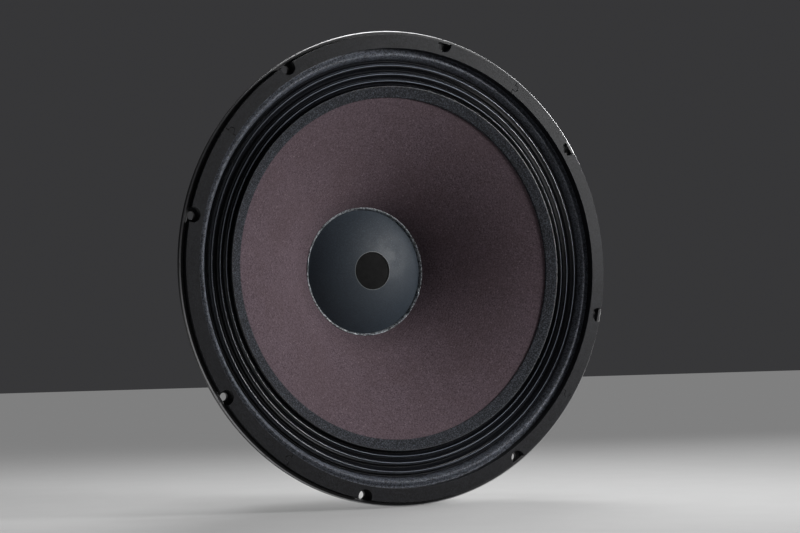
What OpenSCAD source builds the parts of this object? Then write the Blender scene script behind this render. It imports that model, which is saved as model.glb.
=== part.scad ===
// Fifteen-inch bass loudspeaker driver: cast basket, segmented gasket, pleated cloth surround,
// tinted paper cone with a vented dust cap, ring-magnet motor and spring terminals.
// The drive axis is Y: the front faces -Y, Z is up, and the origin lies on the axis in the plane
// of the flange's back face, which seats against the cabinet's baffle.
// Inside the modules the axis is the local z, with the front at +z, and stand_up() turns it.

/* [Flange and gasket] */
// Outer diameter of the mounting flange
flange_d = 386; // [384:1:392]
// Thickness of the flange under the gasket
flange_floor = 3.2; // [2.6:0.2:4.4]
// Height of the rim lip above the flange floor
lip_h = 3; // [2:0.5:4]
// Thickness of the rim lip
lip_w = 3; // [2:0.5:3.4]
// Distance of the mounting holes' centres from the flange's edge
hole_inset = 6.5; // [6.2:0.1:7.5]
// Diameter of each mounting hole
hole_d = 6.4; // [5:0.2:6.6]
// Number of mounting holes
hole_count = 8; // [4:4:8]
// Turn of the mounting holes from upright, in degrees
hole_turn = -12.5; // [-22:0.5:22]
// Thickness of the gasket
gasket_t = 7.4; // [5:0.2:9]
// Width of the gasket
gasket_w = 11.1; // [9.6:0.1:11.6]
// Diameter of the notch cut in the gasket at each mounting hole
notch_d = 12; // [9:0.5:13]
// Diameter of the knob that locks two gasket segments
knob_d = 4.6; // [3.6:0.2:5.4]
// Distance of the notch's centre outside the circle of mounting holes
notch_shift = 1; // [0:0.1:1.4]
// Gap at the gasket's seams
seam_gap = 0.3; // [0.2:0.05:0.4]
// Gap between the gasket and the rim lip
gasket_side_gap = 0.4; // [0.2:0.1:0.8]

/* [Basket] */
// Width of the flange outside the basket
flange_w = 16; // [15.5:0.1:17]
// Wall of the skirt behind the flange
skirt_wall = 2.8; // [2.4:0.2:3.4]
// Depth of the skirt behind the flange
skirt_depth = 16; // [12:1:20]
// Wall of the basket's spokes
spoke_wall = 3.4; // [2.6:0.2:4.4]
// Width of a spoke at its waist
spoke_w = 26; // [20:1:32]
// Extra width of a spoke at each end, on each side
spoke_flare = 9; // [5:1:12]
// Height of the ribs along a spoke's edges
rib_h = 8; // [5:0.5:9]
// Thickness of the ribs along a spoke's edges
rib_w = 3.4; // [2.6:0.2:4.4]
// Diameter of the tub that carries the spider
tub_d = 186; // [184:1:190]
// Wall of the tub
tub_wall = 3.5; // [2.6:0.1:4.5]
// Width of the ledge that the spider is glued to
ledge_w = 10.5; // [9:0.5:11]
// Thickness of the spider's ledge
ledge_t = 4; // [3:0.5:5]
// Thickness of the tub's base on the top plate
base_t = 5; // [4.4:0.2:6]
// Diameter of the opening in the tub's base
base_bore_d = 96; // [90:1:104]
// Height of the air slots under the spider's ledge
slot_h = 4.4; // [3:0.2:4.6]
// Width of the air slots in the tub's wall
slot_w = 30; // [24:1:34]

/* [Cone, surround and cap] */
// Depth of the cone's outer edge below the gasket's face
cone_edge_depth = 9.3; // [8.6:0.1:10]
// Width of the surround from the cone's edge to the gasket
surround_w = 31.1; // [30.7:0.1:31.7]
// Radius of the cone's neck
neck_r = 38.6; // [38.6:0.1:39.4]
// Depth of the cone's neck below the gasket's face
neck_depth = 90; // [86:0.5:92]
// Flare of the cone's profile, in degrees at each end
cone_flare = 9; // [6:0.5:11]
// Thickness of the cone's paper
cone_t = 1; // [0.8:0.1:1.4]
// Length of the collar that joins the cone to the coil former
collar_h = 5; // [4:0.5:7]
// Width of the surround's inner cuff on the cone
cuff_w = 7.9; // [5.5:0.1:10.5]
// Thickness of the surround's cloth
surround_t = 0.6; // [0.4:0.1:0.8]
// Height of the surround's outer roll above the flange floor
roll_h = 1.8; // [1:0.1:2.4]
// Height of the pleats' crests above the flange's back face
crest_z = 2.5; // [1.6:0.1:3]
// Depth of the pleats' valleys behind the flange's back face
valley_z = 1.8; // [1.2:0.1:3]
// Radius of the dust cap's edge
cap_r = 52; // [49:0.5:54]
// Height of the dust cap's dome
cap_h = 17.2; // [14:0.2:19]
// Thickness of the dust cap
cap_t = 0.8; // [0.6:0.1:1.2]
// Diameter of the vent in the dust cap
vent_d = 31.6; // [26:0.2:36]
// Width of the screen's glued edge behind the vent
screen_lap = 3; // [2:0.5:4]
// Width of the glue bead round the dust cap
bead_w = 2; // [1.4:0.1:2.6]
// Height of the glue bead round the dust cap
bead_h = 1.7; // [1.2:0.1:2.2]

/* [Motor] */
// Diameter of the voice coil's former, inside
former_d = 75.8; // [75:0.1:75.9]
// Thickness of the former
former_t = 0.3; // [0.2:0.05:0.35]
// Length of the former
former_h = 52; // [50:0.5:56]
// Thickness of the coil's winding
winding_t = 0.95; // [0.7:0.05:1.1]
// Length of the coil's winding
winding_h = 18; // [14:0.5:22]
// Clearance between the coil and the top plate
coil_gap = 0.8; // [0.6:0.05:1.1]
// Clearance between the former and the pole
pole_gap = 0.6; // [0.4:0.05:0.9]
// Height of the spider's plane behind the cone's neck
spider_drop = 14.2; // [13:0.2:16]
// Height of a wave in the spider, each way
wave_h = 2.4; // [1.6:0.1:2.8]
// Number of waves in the spider
wave_count = 5; // [4:1:6]
// Thickness of the spider's cloth
spider_t = 0.6; // [0.4:0.1:0.8]
// Distance from the spider's ledge to the top plate
tub_h = 14; // [13:0.5:16]
// Outer diameter of the top plate
plate_d = 184; // [180:1:186]
// Thickness of the top plate
plate_t = 10; // [8:0.5:12]
// Outer diameter of the ring magnet
magnet_d = 190; // [186:1:200]
// Inner diameter of the ring magnet
magnet_bore_d = 100; // [92:1:106]
// Thickness of the ring magnet
magnet_t = 22; // [18:0.5:25]
// Outer diameter of the back plate
yoke_d = 180; // [170:1:186]
// Thickness of the back plate
yoke_t = 12; // [10:0.5:14]
// Height of the pole's tip above the top plate
pole_rise = 3; // [1:0.5:5]
// Radius of the circle of base screws
screw_circle_r = 68; // [62:0.5:74]
// Number of base screws
screw_count = 8; // [4:1:10]
// Diameter of a base screw
screw_d = 4.8; // [4:0.1:5.2]

/* [Terminals] */
// Direction of the terminals round the axis, counted from the mounting holes
terminal_step = 1; // [0:1:7]
// Distance of the terminal posts outside the tub
post_reach = 16; // [14:0.5:17]
// Distance between the two terminal posts
post_spacing = 22; // [20:0.5:24]
// Diameter of a post's shaft
post_d = 5; // [4.4:0.2:5.6]
// Clearance between a post and its push cap
cap_gap = 0.08; // [0.05:0.01:0.1]
// Wall of a push cap round its spring
push_wall = 1.2; // [1:0.1:1.6]
// Length of a push cap's guide on the post
guide_h = 8; // [7:0.5:9]
// Travel of a push cap
push_travel = 3; // [2:0.5:3]
// Diameter of the wire hole through a post
wire_d = 2.4; // [2:0.1:2.6]
// Radial width of a push cap's spring
spring_w = 1.2; // [0.8:0.1:1.4]
// Length of a push cap's spring when the cap is out
spring_h = 6; // [5:0.5:7]
// Thickness of the terminal board
board_t = 3; // [2:0.5:4]
// Width of the terminal board
board_w = 43; // [41:0.5:44]
// Length of the terminal board, out from the axis
board_l = 26; // [25:0.5:28]
// Thickness of the lug that carries the board
lug_t = 4; // [3:0.5:5]
// Diameter of a flexible lead
lead_d = 2; // [1.6:0.1:2.4]

/* [Hidden] */
$fn = 96;

// Colours of the materials
paint_black = [0.05, 0.05, 0.055];
gasket_black = [0.13, 0.13, 0.135];
cloth_black = [0.1, 0.105, 0.12];
cone_mauve = [0.33, 0.26, 0.28];
cap_slate = [0.2, 0.22, 0.25];
screen_grey = [0.12, 0.12, 0.12];
glue_grey = [0.3, 0.32, 0.33];
former_brown = [0.45, 0.25, 0.08];
copper = [0.72, 0.38, 0.2];
spider_amber = [0.45, 0.3, 0.12];
steel_dark = [0.2, 0.2, 0.21];
ferrite_grey = [0.16, 0.16, 0.17];
zinc = [0.62, 0.62, 0.6];
board_brown = [0.16, 0.1, 0.06];
cap_red = [0.6, 0.05, 0.04];
cap_black = [0.04, 0.04, 0.04];
nickel = [0.75, 0.73, 0.7];
tinsel_copper = [0.6, 0.4, 0.28];

// Clearances: a glue line, a flexible piece's glue line, a screw in its hole, a head in its seat
bond = 0.05;
soft_bond = 0.3;
screw_gap = 0.1;
seat_gap = 0.3;

// Flange and gasket
flange_r = flange_d / 2;
lip_r = flange_r - lip_w;
gasket_r = lip_r - gasket_side_gap;
gasket_inner_r = gasket_r - gasket_w;
gasket_mid_r = (gasket_r + gasket_inner_r) / 2;
gasket_z = flange_floor + surround_t;
front_z = gasket_z + gasket_t;
hole_circle_r = flange_r - hole_inset;
hole_step = 360 / hole_count;
hole_angle = 90 + hole_turn;
segment_count = 4;
segment_angle = 360 / segment_count;
seam_angle = hole_angle - 22.5;
edge_break = 0.6;
rim_chamfer = 1.2;

// Cone: an arc from the neck to the edge that swells towards the front
cone_edge_r = gasket_inner_r - surround_w;
neck = [neck_r, front_z - neck_depth];
edge = [cone_edge_r, front_z - cone_edge_depth];
cone_steps = 24;
cone_chord = norm(edge - neck);
cone_arc_r = cone_chord / 2 / sin(cone_flare);
cone_way = (edge - neck) / cone_chord;
cone_centre = (neck + edge) / 2 + [cone_way[1], -cone_way[0]] * cone_arc_r * cos(cone_flare);

// Surround: crests and valleys from the cuff's end to the foot of the outer roll
cuff_r = cone_edge_r - cuff_w;
cuff_end_r = cone_edge_r + 0.9;
roll_crest_r = cuff_end_r + 25.3;
roll_foot_r = gasket_inner_r - 0.4;
pleat_steps = 6;
pleat_turns = [
  [cuff_end_r, cuff_z(cone_edge_r) + 0.4],
  [cuff_end_r + 2.2, -valley_z + 0.6], [cuff_end_r + 4.4, crest_z - 0.3],
  [cuff_end_r + 7, -valley_z + 0.2], [cuff_end_r + 9.8, crest_z],
  [cuff_end_r + 13.4, -valley_z], [cuff_end_r + 17, crest_z + 0.3],
  [cuff_end_r + 20.7, -valley_z + 0.2], [roll_crest_r, flange_floor + roll_h],
  [roll_foot_r, flange_floor + surround_t / 2]
];

// Dust cap and its vent
cap_sphere_r = (cap_r * cap_r + cap_h * cap_h) / 2 / cap_h;
cap_edge_angle = asin(cap_r / cap_sphere_r);
cap_edge_lift = cap_t * (cos(cap_edge_angle) - sin(cap_edge_angle) * tan(cone_slope(cap_r)));
cap_base_z = cone_z(cap_r) + bond + max(0, cap_edge_lift);
cap_centre_z = cap_base_z + cap_h - cap_sphere_r;
vent_r = vent_d / 2;
cap_steps = 14;

// Voice coil, spider and motor, from front to back
former_r = former_d / 2;
former_out_r = former_r + former_t;
collar_r = former_out_r + bond;
former_top_z = neck[1] + 6.8;
ledge_z = neck[1] - spider_drop;
plate_z = ledge_z - tub_h;
magnet_z = plate_z - plate_t;
yoke_z = magnet_z - magnet_t;
back_z = yoke_z - yoke_t;
coil_r = former_out_r + bond + winding_t;
winding_mid_z = plate_z - plate_t / 2;
pole_r = former_r - pole_gap;
spider_mid_z = ledge_z + bond + spider_t / 2;
spider_r = former_out_r + soft_bond;
spider_collar_h = 5;
spider_wave_in = spider_r + 4;
spider_wave_out = tub_d / 2 - ledge_w - 0.5;
wave_steps = 8;

// Base screws
head_r = screw_d / 2 + 1.9;
head_h = 4;
head_sink = 2.5;
screw_reach = 7;
socket_r = 2.3;
socket_depth = 2.6;

// Basket spokes: an arc from the tub to the skirt that swells outwards
spoke_count = hole_count;
tub_r = tub_d / 2;
skirt_r = flange_r - flange_w;
spoke_foot = [tub_r - tub_wall - 3, ledge_z - ledge_t - 5];
spoke_head = [skirt_r - skirt_wall / 2, -skirt_depth + 5];
spoke_swell = 12;
spoke_steps = 8;
flare_len = 16;
flare_steps = 4;
inset = 0.3;

// Terminal lug, board and posts, behind the spider's ledge plane and clear of the magnet
post_r = max(tub_r, magnet_d / 2 - 2) + post_reach;
terminal_angle = hole_angle + terminal_step * hole_step;
lug_margin = 0.5;
lug_half_w = board_w / 2 + lug_margin;
lug_out_r = post_r + board_l / 2 + lug_margin;
lug_corner_r = 4;
lug_top_z = ledge_z - 0.6;
lug_z = lug_top_z - lug_t;
board_z = lug_z - board_t;
insulator_t = 1.5;
insulator_margin = 1;
tab_z = lug_top_z + insulator_t;
tab_t = 0.8;
tab_reach = 9;
tab_w = 3.6;
nut_t = 3;
nut_r = post_d / 2 + 1.7;
board_screw_offset = 8;
board_screw_d = 3.2;

// Push cap: its skirt slides over the post's collar, with the spring between them
spring_in_r = post_d / 2 + 0.3;
collar_out_r = spring_in_r + spring_w;
collar_len = push_travel + 2;
collar_z = board_z - collar_len;
shoulder_z = collar_z - spring_h;
skirt_z = board_z - push_travel - 0.6;
push_bore_r = collar_out_r + seat_gap;
push_r = push_bore_r + push_wall;
push_end_z = shoulder_z - guide_h;
push_end_t = 1.2;
push_nose = 1;
post_tip_z = push_end_z + push_end_t + push_travel + 0.4;
wire_z = (shoulder_z + post_tip_z) / 2 + push_travel / 2;

// Lead anchors on the back of the cone
anchor_r = 62;
anchor_turn = 8.4;
anchor_pad_r = 4;
anchor_pad_t = 2;

// Route of a flexible lead from its tab to its anchor: distance out, distance sideways, height
lead_sides = 8;
lead_start = [post_r + tab_reach - tab_w / 2, post_spacing / 2, tab_z + tab_t + bond];
lead_middle = [
  [post_r + 7.2, 11, -86], [post_r + 6.4, 11, -82.5], [post_r + 4.2, 11, -79.4],
  [post_r + 0.5, 11, -77.2], [post_r - 4, 10.8, -76], [post_r - 9, 10.6, -75.4],
  [post_r - 14, 10.4, -75.2], [post_r - 19, 10.2, -75.2],
  [anchor_r + 23, 10, -75.2], [anchor_r + 18, 9.8, -74.6],
  [anchor_r + 13.5, 9.6, -73], [anchor_r + 9.5, 9.4, -70.4]
];
lead_depth = cone_t + bond + anchor_pad_t + soft_bond;
lead_last = [anchor_point(lead_depth + 4), anchor_point(lead_depth + 2), anchor_point(lead_depth)];

// Height of the cone's front face at a radius
function cone_z(r) = cone_centre[1] + sqrt(pow(cone_arc_r, 2) - pow(r - cone_centre[0], 2));

// Slope of the cone's front face at a radius, in degrees
function cone_slope(r) = atan2(cone_centre[0] - r, cone_z(r) - cone_centre[1]);

// Point behind the cone at a lead's anchor, a given distance below the cone's front face
function anchor_point(depth) =
  let (out = anchor_r + depth * sin(cone_slope(anchor_r)))
  [out * cos(anchor_turn), out * sin(anchor_turn),
   cone_z(anchor_r) - depth * cos(cone_slope(anchor_r))];

// Height of the middle of the surround's cuff, glued on the cone
function cuff_z(r) = cone_z(r) + soft_bond + surround_t / 2;

// Points on an arc from a to b that swells to the right of the way, moved to the right by shift
function arc_points(a, b, swell, steps, shift = 0) =
  let (
    chord = norm(b - a),
    way = (b - a) / chord,
    right = [way[1], -way[0]],
    radius = chord / 2 / sin(swell),
    centre = (a + b) / 2 - right * radius * cos(swell)
  )
  [for (i = [0:steps])
    let (t = -swell + 2 * swell * i / steps)
    centre + (radius + shift) * (right * cos(t) + way * sin(t))];

function reversed(list) = [for (i = [len(list) - 1:-1:0]) list[i]];

// Points from one turn of the pleats to the next, on half a cosine wave
function pleat(a, b) =
  [for (i = [0:pleat_steps - 1])
    let (t = i / pleat_steps)
    [a[0] + (b[0] - a[0]) * t, a[1] + (b[1] - a[1]) * (1 - cos(180 * t)) / 2]];

// Middle line of the surround: cuff, pleats, outer roll and flat rim
function surround_line() = concat(
  [for (i = [0:4])
    let (r = cuff_r + (cone_edge_r - cuff_r) * i / 4)
    [r, cuff_z(r)]],
  [for (i = [0:len(pleat_turns) - 2]) each pleat(pleat_turns[i], pleat_turns[i + 1])],
  [pleat_turns[len(pleat_turns) - 1], [gasket_r - 0.4, flange_floor + surround_t / 2]]
);

// Middle line of the spider's waves and its flat rim
function spider_line() = concat(
  [[spider_r + 0.3, spider_mid_z]],
  [for (i = [0:wave_count * wave_steps])
    let (t = i / (wave_count * wave_steps))
    [spider_wave_in + (spider_wave_out - spider_wave_in) * t,
     spider_mid_z + wave_h * sin(360 * wave_count * t)]],
  [[tub_r - 2, spider_mid_z]]
);

// Closed outline of a sheet whose thickness is measured along the axis
function sheet_outline(line, thickness) = concat(
  [for (p = line) p + [0, thickness / 2]],
  [for (p = reversed(line)) p - [0, thickness / 2]]
);

// Ring of points round a route's point, square to the way between its neighbours
function tube_ring(route, i, radius, sides) =
  let (
    before = route[max(0, i - 1)],
    after = route[min(len(route) - 1, i + 1)],
    way = (after - before) / norm(after - before),
    side = [0, 1, 0] - way * way[1],
    u = side / norm(side),
    v = cross(way, u)
  )
  [for (k = [0:sides - 1])
    route[i] + radius * (u * cos(360 * k / sides) + v * sin(360 * k / sides))];

// Turns the local axis to the object's: local z to -Y, local y to +Z
module stand_up() {
  rotate([90, 0, 0]) children();
}

module ring(outer_r, inner_r, z0, z1) {
  translate([0, 0, z0])
    difference() {
      cylinder(r = outer_r, h = z1 - z0);
      translate([0, 0, -1]) cylinder(r = inner_r, h = z1 - z0 + 2);
    }
}

// Copies its children round the axis
module around(count, start) {
  for (i = [0:count - 1]) rotate([0, 0, start + i * 360 / count]) children();
}

module flange() {
  rotate_extrude()
    polygon([
      [skirt_r - skirt_wall, -skirt_depth], [skirt_r, -skirt_depth], [skirt_r, 0],
      [flange_r - rim_chamfer, 0], [flange_r, rim_chamfer],
      [flange_r, flange_floor + lip_h - edge_break],
      [flange_r - edge_break, flange_floor + lip_h],
      [lip_r + edge_break / 2, flange_floor + lip_h],
      [lip_r, flange_floor + lip_h - edge_break / 2], [lip_r, flange_floor],
      [skirt_r - skirt_wall + 2, flange_floor],
      [skirt_r - skirt_wall + 0.6, flange_floor - 0.6],
      [skirt_r - skirt_wall, flange_floor - 2]
    ]);
}

module tub() {
  difference() {
    union() {
      ring(tub_r, tub_r - tub_wall, plate_z, ledge_z);
      ring(tub_r, tub_r - ledge_w, ledge_z - ledge_t, ledge_z);
      ring(tub_r, base_bore_d / 2, plate_z, plate_z + base_t);
    }
    around(spoke_count, hole_angle) air_slot();
    around(screw_count, hole_angle) {
      translate([screw_circle_r, 0, plate_z - 1]) cylinder(d = screw_d + 2 * screw_gap, h = base_t + 2);
      translate([screw_circle_r, 0, plate_z + base_t - head_sink])
        cylinder(r = head_r + seat_gap, h = head_sink + 1);
    }
  }
}

// Round-ended slot through the tub's wall, between the base and the ledge
module air_slot() {
  slot_z = (plate_z + base_t + ledge_z - ledge_t) / 2;
  half = (slot_w - slot_h) / 2;
  translate([tub_r - tub_wall - 2, 0, slot_z])
    rotate([0, 90, 0]) {
      translate([-slot_h / 2, -half, 0]) cube([slot_h, 2 * half, tub_wall + 4]);
      for (side = [-1, 1]) translate([0, side * half, 0]) cylinder(d = slot_h, h = tub_wall + 4);
    }
}

// Plan of a spoke along +x: a parallel waist that widens towards both ends
module spoke_plan() {
  near = tub_r - 4;
  far = spoke_head[0] + 2;
  half = spoke_w / 2;
  flare = [for (i = [0:flare_steps])
    let (t = 90 * i / flare_steps)
    [flare_len * (1 - sin(t)), spoke_flare * (1 - cos(t))]];
  upper = concat(
    [for (p = reversed(flare)) [near + p[0], half + p[1]]],
    [for (p = flare) [far - p[0], half + p[1]]]
  );
  polygon(concat(upper, [for (p = reversed(upper)) [p[0], -p[1]]]));
}

// Plan of the ribs along both edges of a spoke
module rib_plan() {
  for (side = [-1, 1])
    translate([tub_r - 4, side * (spoke_w / 2 - inset - rib_w / 2) - rib_w / 2])
      square([skirt_r - tub_r + 8, rib_w]);
}

// Round wall between two distances from the spokes' inner arc
module basket_wall(near, far) {
  rotate_extrude()
    polygon(concat(
      arc_points(spoke_foot, spoke_head, spoke_swell, spoke_steps, near),
      reversed(arc_points(spoke_foot, spoke_head, spoke_swell, spoke_steps, far))
    ));
}

module spokes() {
  intersection() {
    union() {
      intersection() {
        basket_wall(0, spoke_wall);
        around(spoke_count, hole_angle + hole_step / 2)
          translate([0, 0, plate_z - 10]) linear_extrude(10 - plate_z) spoke_plan();
      }
      intersection() {
        basket_wall(spoke_wall / 2, spoke_wall + rib_h);
        around(spoke_count, hole_angle + hole_step / 2)
          translate([0, 0, plate_z - 10]) linear_extrude(10 - plate_z) rib_plan();
      }
    }
    ring(skirt_r - inset, tub_r - tub_wall / 2, plate_z + inset, -1);
  }
}

// Plate with two round corners away from the axis
module lug() {
  corner = [for (i = [0:6]) lug_corner_r * [sin(15 * i), cos(15 * i)]];
  inner = [lug_out_r - lug_corner_r, lug_half_w - lug_corner_r];
  side = concat([[tub_r - 2, lug_half_w]], [for (p = corner) inner + p]);
  rotate([0, 0, terminal_angle])
    difference() {
      translate([0, 0, lug_z])
        linear_extrude(lug_t)
          polygon(concat(side, [for (p = reversed(side)) [p[0], -p[1]]]));
      post_places() translate([0, 0, lug_z - 1]) cylinder(d = post_d + 4, h = lug_t + 2);
      board_screw_places() translate([0, 0, lug_z - 1])
        cylinder(d = board_screw_d + 2 * screw_gap, h = lug_t + 2);
    }
}

module board_screw_places() {
  for (side = [-1, 1]) translate([post_r + side * board_screw_offset, 0, 0]) children();
}

module post_places() {
  for (side = [-1, 1]) at_post(side) children();
}

module at_post(side) {
  translate([post_r, side * post_spacing / 2, 0]) children();
}

module frame() {
  color(paint_black)
    stand_up()
      difference() {
        union() {
          flange();
          tub();
          lug();
          spokes();
        }
        around(hole_count, hole_angle)
          translate([hole_circle_r, 0, -1]) cylinder(d = hole_d, h = flange_floor + 2);
      }
}

// Outline of a seam's knob, for a seam on the +x axis
module knob(extra) {
  translate([gasket_mid_r, -0.36 * knob_d]) circle(d = knob_d + 2 * extra, $fn = 32);
}

// One gasket segment, with a knob at its near end and a socket at its far end
module gasket_segment(index) {
  start = seam_angle + index * segment_angle;
  reach = 2 * gasket_r;
  near = seam_gap / 2;
  color(gasket_black)
    stand_up()
      translate([0, 0, gasket_z])
        linear_extrude(gasket_t)
          difference() {
            union() {
              intersection() {
                difference() {
                  circle(r = gasket_r);
                  circle(r = gasket_inner_r);
                }
                rotate(start) polygon([[near, near], [reach, near], [reach, reach], [near, reach]]);
              }
              rotate(start) translate([0, near]) knob(0);
            }
            rotate(start + segment_angle) translate([0, near]) knob(seam_gap);
            for (i = [0:hole_count - 1]) rotate(hole_angle + i * hole_step) notch();
          }
}

// Round notch at a mounting hole, open to the rim
module notch() {
  translate([hole_circle_r + notch_shift, 0]) circle(d = notch_d);
}

module surround() {
  color(cloth_black)
    stand_up()
      difference() {
        rotate_extrude() polygon(sheet_outline(surround_line(), surround_t));
        around(hole_count, hole_angle)
          translate([0, 0, flange_floor - 1]) linear_extrude(gasket_t) notch();
      }
}

module cone() {
  color(cone_mauve)
    stand_up() {
      rotate_extrude()
        polygon(concat(
          arc_points(neck, edge, -cone_flare, cone_steps),
          reversed(arc_points(neck, edge, -cone_flare, cone_steps, cone_t))
        ));
      ring(collar_r + cone_t, collar_r, neck[1] - collar_h, neck[1] + 0.3);
    }
}

// Outline of a spherical sheet from one radius to another, below the cap's outer sphere
function dome_outline(near_r, far_r, drop, thickness) =
  let (
    outer = cap_sphere_r - drop,
    inner = outer - thickness,
    a0 = asin(near_r / outer),
    a1 = asin(far_r / outer)
  )
  concat(
    [for (i = [0:cap_steps]) let (a = a0 + (a1 - a0) * i / cap_steps) outer * [sin(a), cos(a)]],
    [for (i = [cap_steps:-1:0]) let (a = a0 + (a1 - a0) * i / cap_steps) inner * [sin(a), cos(a)]]
  );

module dust_cap() {
  color(cap_slate)
    stand_up()
      translate([0, 0, cap_centre_z]) rotate_extrude() polygon(dome_outline(vent_r, cap_r, 0, cap_t));
}

module vent_screen() {
  color(screen_grey)
    stand_up()
      translate([0, 0, cap_centre_z])
        rotate_extrude() polygon(dome_outline(0, vent_r + screen_lap, cap_t + bond, 0.4));
}

module cap_glue_bead() {
  near = cap_r + bond;
  far = near + bead_w;
  color(glue_grey)
    stand_up()
      rotate_extrude()
        polygon([
          [near, cone_z(near) + bond], [far, cone_z(far) + bond],
          [far - 0.2, cone_z(far) + 0.4 * bead_h], [far - 0.7, cone_z(far) + 0.75 * bead_h],
          [near + 0.5, cone_z(near) + bead_h], [near, cone_z(near) + bead_h]
        ]);
}

module coil_former() {
  color(former_brown) stand_up() ring(former_out_r, former_r, former_top_z - former_h, former_top_z);
}

module coil_winding() {
  color(copper)
    stand_up()
      ring(coil_r, former_out_r + bond, winding_mid_z - winding_h / 2, winding_mid_z + winding_h / 2);
}

module spider() {
  color(spider_amber)
    stand_up() {
      rotate_extrude() polygon(sheet_outline(spider_line(), spider_t));
      ring(spider_r + 0.7, spider_r, spider_mid_z - spider_t / 2, spider_mid_z + spider_collar_h);
    }
}

module top_plate() {
  color(zinc)
    stand_up()
      difference() {
        ring(plate_d / 2, coil_r + coil_gap, magnet_z, plate_z);
        around(screw_count, hole_angle)
          translate([screw_circle_r, 0, plate_z - screw_reach - 1])
            cylinder(d = screw_d + 2 * screw_gap, h = screw_reach + 2);
      }
}

module magnet_ring() {
  chamfer = 1.5;
  r = magnet_d / 2;
  color(ferrite_grey)
    stand_up()
      rotate_extrude()
        polygon([
          [magnet_bore_d / 2, yoke_z], [r - chamfer, yoke_z], [r, yoke_z + chamfer],
          [r, magnet_z - chamfer], [r - chamfer, magnet_z], [magnet_bore_d / 2, magnet_z]
        ]);
}

module pole_yoke() {
  chamfer = 2;
  r = yoke_d / 2;
  color(steel_dark)
    stand_up()
      rotate_extrude()
        polygon([
          [0, back_z], [r - chamfer, back_z], [r, back_z + chamfer], [r, yoke_z], [pole_r, yoke_z],
          [pole_r, plate_z + pole_rise - 1], [pole_r - 1, plate_z + pole_rise], [0, plate_z + pole_rise]
        ]);
}

module base_screws() {
  seat_z = plate_z + base_t - head_sink;
  tip_z = plate_z - screw_reach;
  socket_z = seat_z + head_h - socket_depth;
  color(zinc)
    stand_up()
      around(screw_count, hole_angle)
        translate([screw_circle_r, 0, 0])
          difference() {
            union() {
              translate([0, 0, seat_z]) cylinder(r = head_r, h = head_h);
              translate([0, 0, tip_z]) cylinder(d = screw_d, h = seat_z - tip_z + 1);
            }
            translate([0, 0, socket_z]) cylinder(r = socket_r, h = socket_depth + 1, $fn = 6);
          }
}

// Places its children in the terminals' own frame: x out from the axis, y sideways
module at_terminals() {
  stand_up() rotate([0, 0, terminal_angle]) children();
}

// Plate under the posts, with holes for the posts and for its two screws
module post_plate(z0, thickness, margin) {
  difference() {
    translate([post_r - board_l / 2 + margin, margin - board_w / 2, z0])
      cube([board_l - 2 * margin, board_w - 2 * margin, thickness]);
    post_places()
      translate([0, 0, z0 - 1]) cylinder(d = post_d + 2 * screw_gap, h = thickness + 2);
    board_screw_places()
      translate([0, 0, z0 - 1]) cylinder(d = board_screw_d + 2 * screw_gap, h = thickness + 2);
  }
}

module terminal_board() {
  color(board_brown) at_terminals() post_plate(board_z, board_t, 0);
}

module insulator_plate() {
  color(board_brown) at_terminals() post_plate(lug_top_z, insulator_t, insulator_margin);
}

module board_screws() {
  pan_h = 2;
  nut_h = 2.4;
  color(zinc)
    at_terminals()
      board_screw_places() {
        translate([0, 0, board_z - pan_h]) cylinder(d = board_screw_d + 2.8, h = pan_h);
        translate([0, 0, board_z - 1]) cylinder(d = board_screw_d, h = tab_z + nut_h + 2 - board_z);
        translate([0, 0, tab_z]) cylinder(r = board_screw_d / 2 + 1.5, h = nut_h, $fn = 6);
      }
}

// Post with a collar behind the board, a shaft through board, lug and tab, and a wire hole
module terminal_post(side) {
  thread_end = tab_z + tab_t + nut_t + 0.8;
  color(nickel)
    at_terminals()
      at_post(side)
        difference() {
          union() {
            translate([0, 0, post_tip_z]) cylinder(d = post_d, h = thread_end - post_tip_z);
            translate([0, 0, collar_z]) cylinder(r = collar_out_r, h = collar_len);
          }
          translate([-post_d, 0, wire_z]) rotate([0, 90, 0]) cylinder(d = wire_d, h = 2 * post_d);
        }
}

// Sprung cap: pressed towards the board, its cross hole lines up with the post's
module push_cap(side, shade) {
  color(shade)
    at_terminals()
      at_post(side)
        difference() {
          rotate_extrude()
            polygon([
              [0, push_end_z], [push_r - push_nose, push_end_z], [push_r, push_end_z + push_nose],
              [push_r, skirt_z], [push_bore_r, skirt_z], [push_bore_r, shoulder_z],
              [post_d / 2 + cap_gap, shoulder_z], [post_d / 2 + cap_gap, push_end_z + push_end_t],
              [0, push_end_z + push_end_t]
            ]);
          translate([-2 * push_r, 0, wire_z - push_travel])
            rotate([0, 90, 0]) cylinder(d = wire_d + 0.4, h = 4 * push_r);
        }
}

module cap_spring(side) {
  color(nickel)
    at_terminals()
      at_post(side)
        ring(collar_out_r - 0.1, spring_in_r, shoulder_z + bond, collar_z - bond);
}

// Tab on the post's front end, with a tongue that the lead is soldered to
module solder_tab(side) {
  color(nickel)
    at_terminals()
      at_post(side)
        translate([0, 0, tab_z])
          difference() {
            union() {
              cylinder(r = nut_r, h = tab_t);
              translate([0, -tab_w / 2, 0]) cube([tab_reach, tab_w, tab_t]);
            }
            translate([0, 0, -1]) cylinder(d = post_d + 2 * screw_gap, h = tab_t + 2);
          }
}

module post_nuts() {
  color(zinc)
    at_terminals()
      post_places()
        translate([0, 0, tab_z + tab_t])
          difference() {
            cylinder(r = nut_r, h = nut_t, $fn = 6);
            translate([0, 0, -1]) cylinder(d = post_d + 2 * screw_gap, h = nut_t + 2);
          }
}

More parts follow.
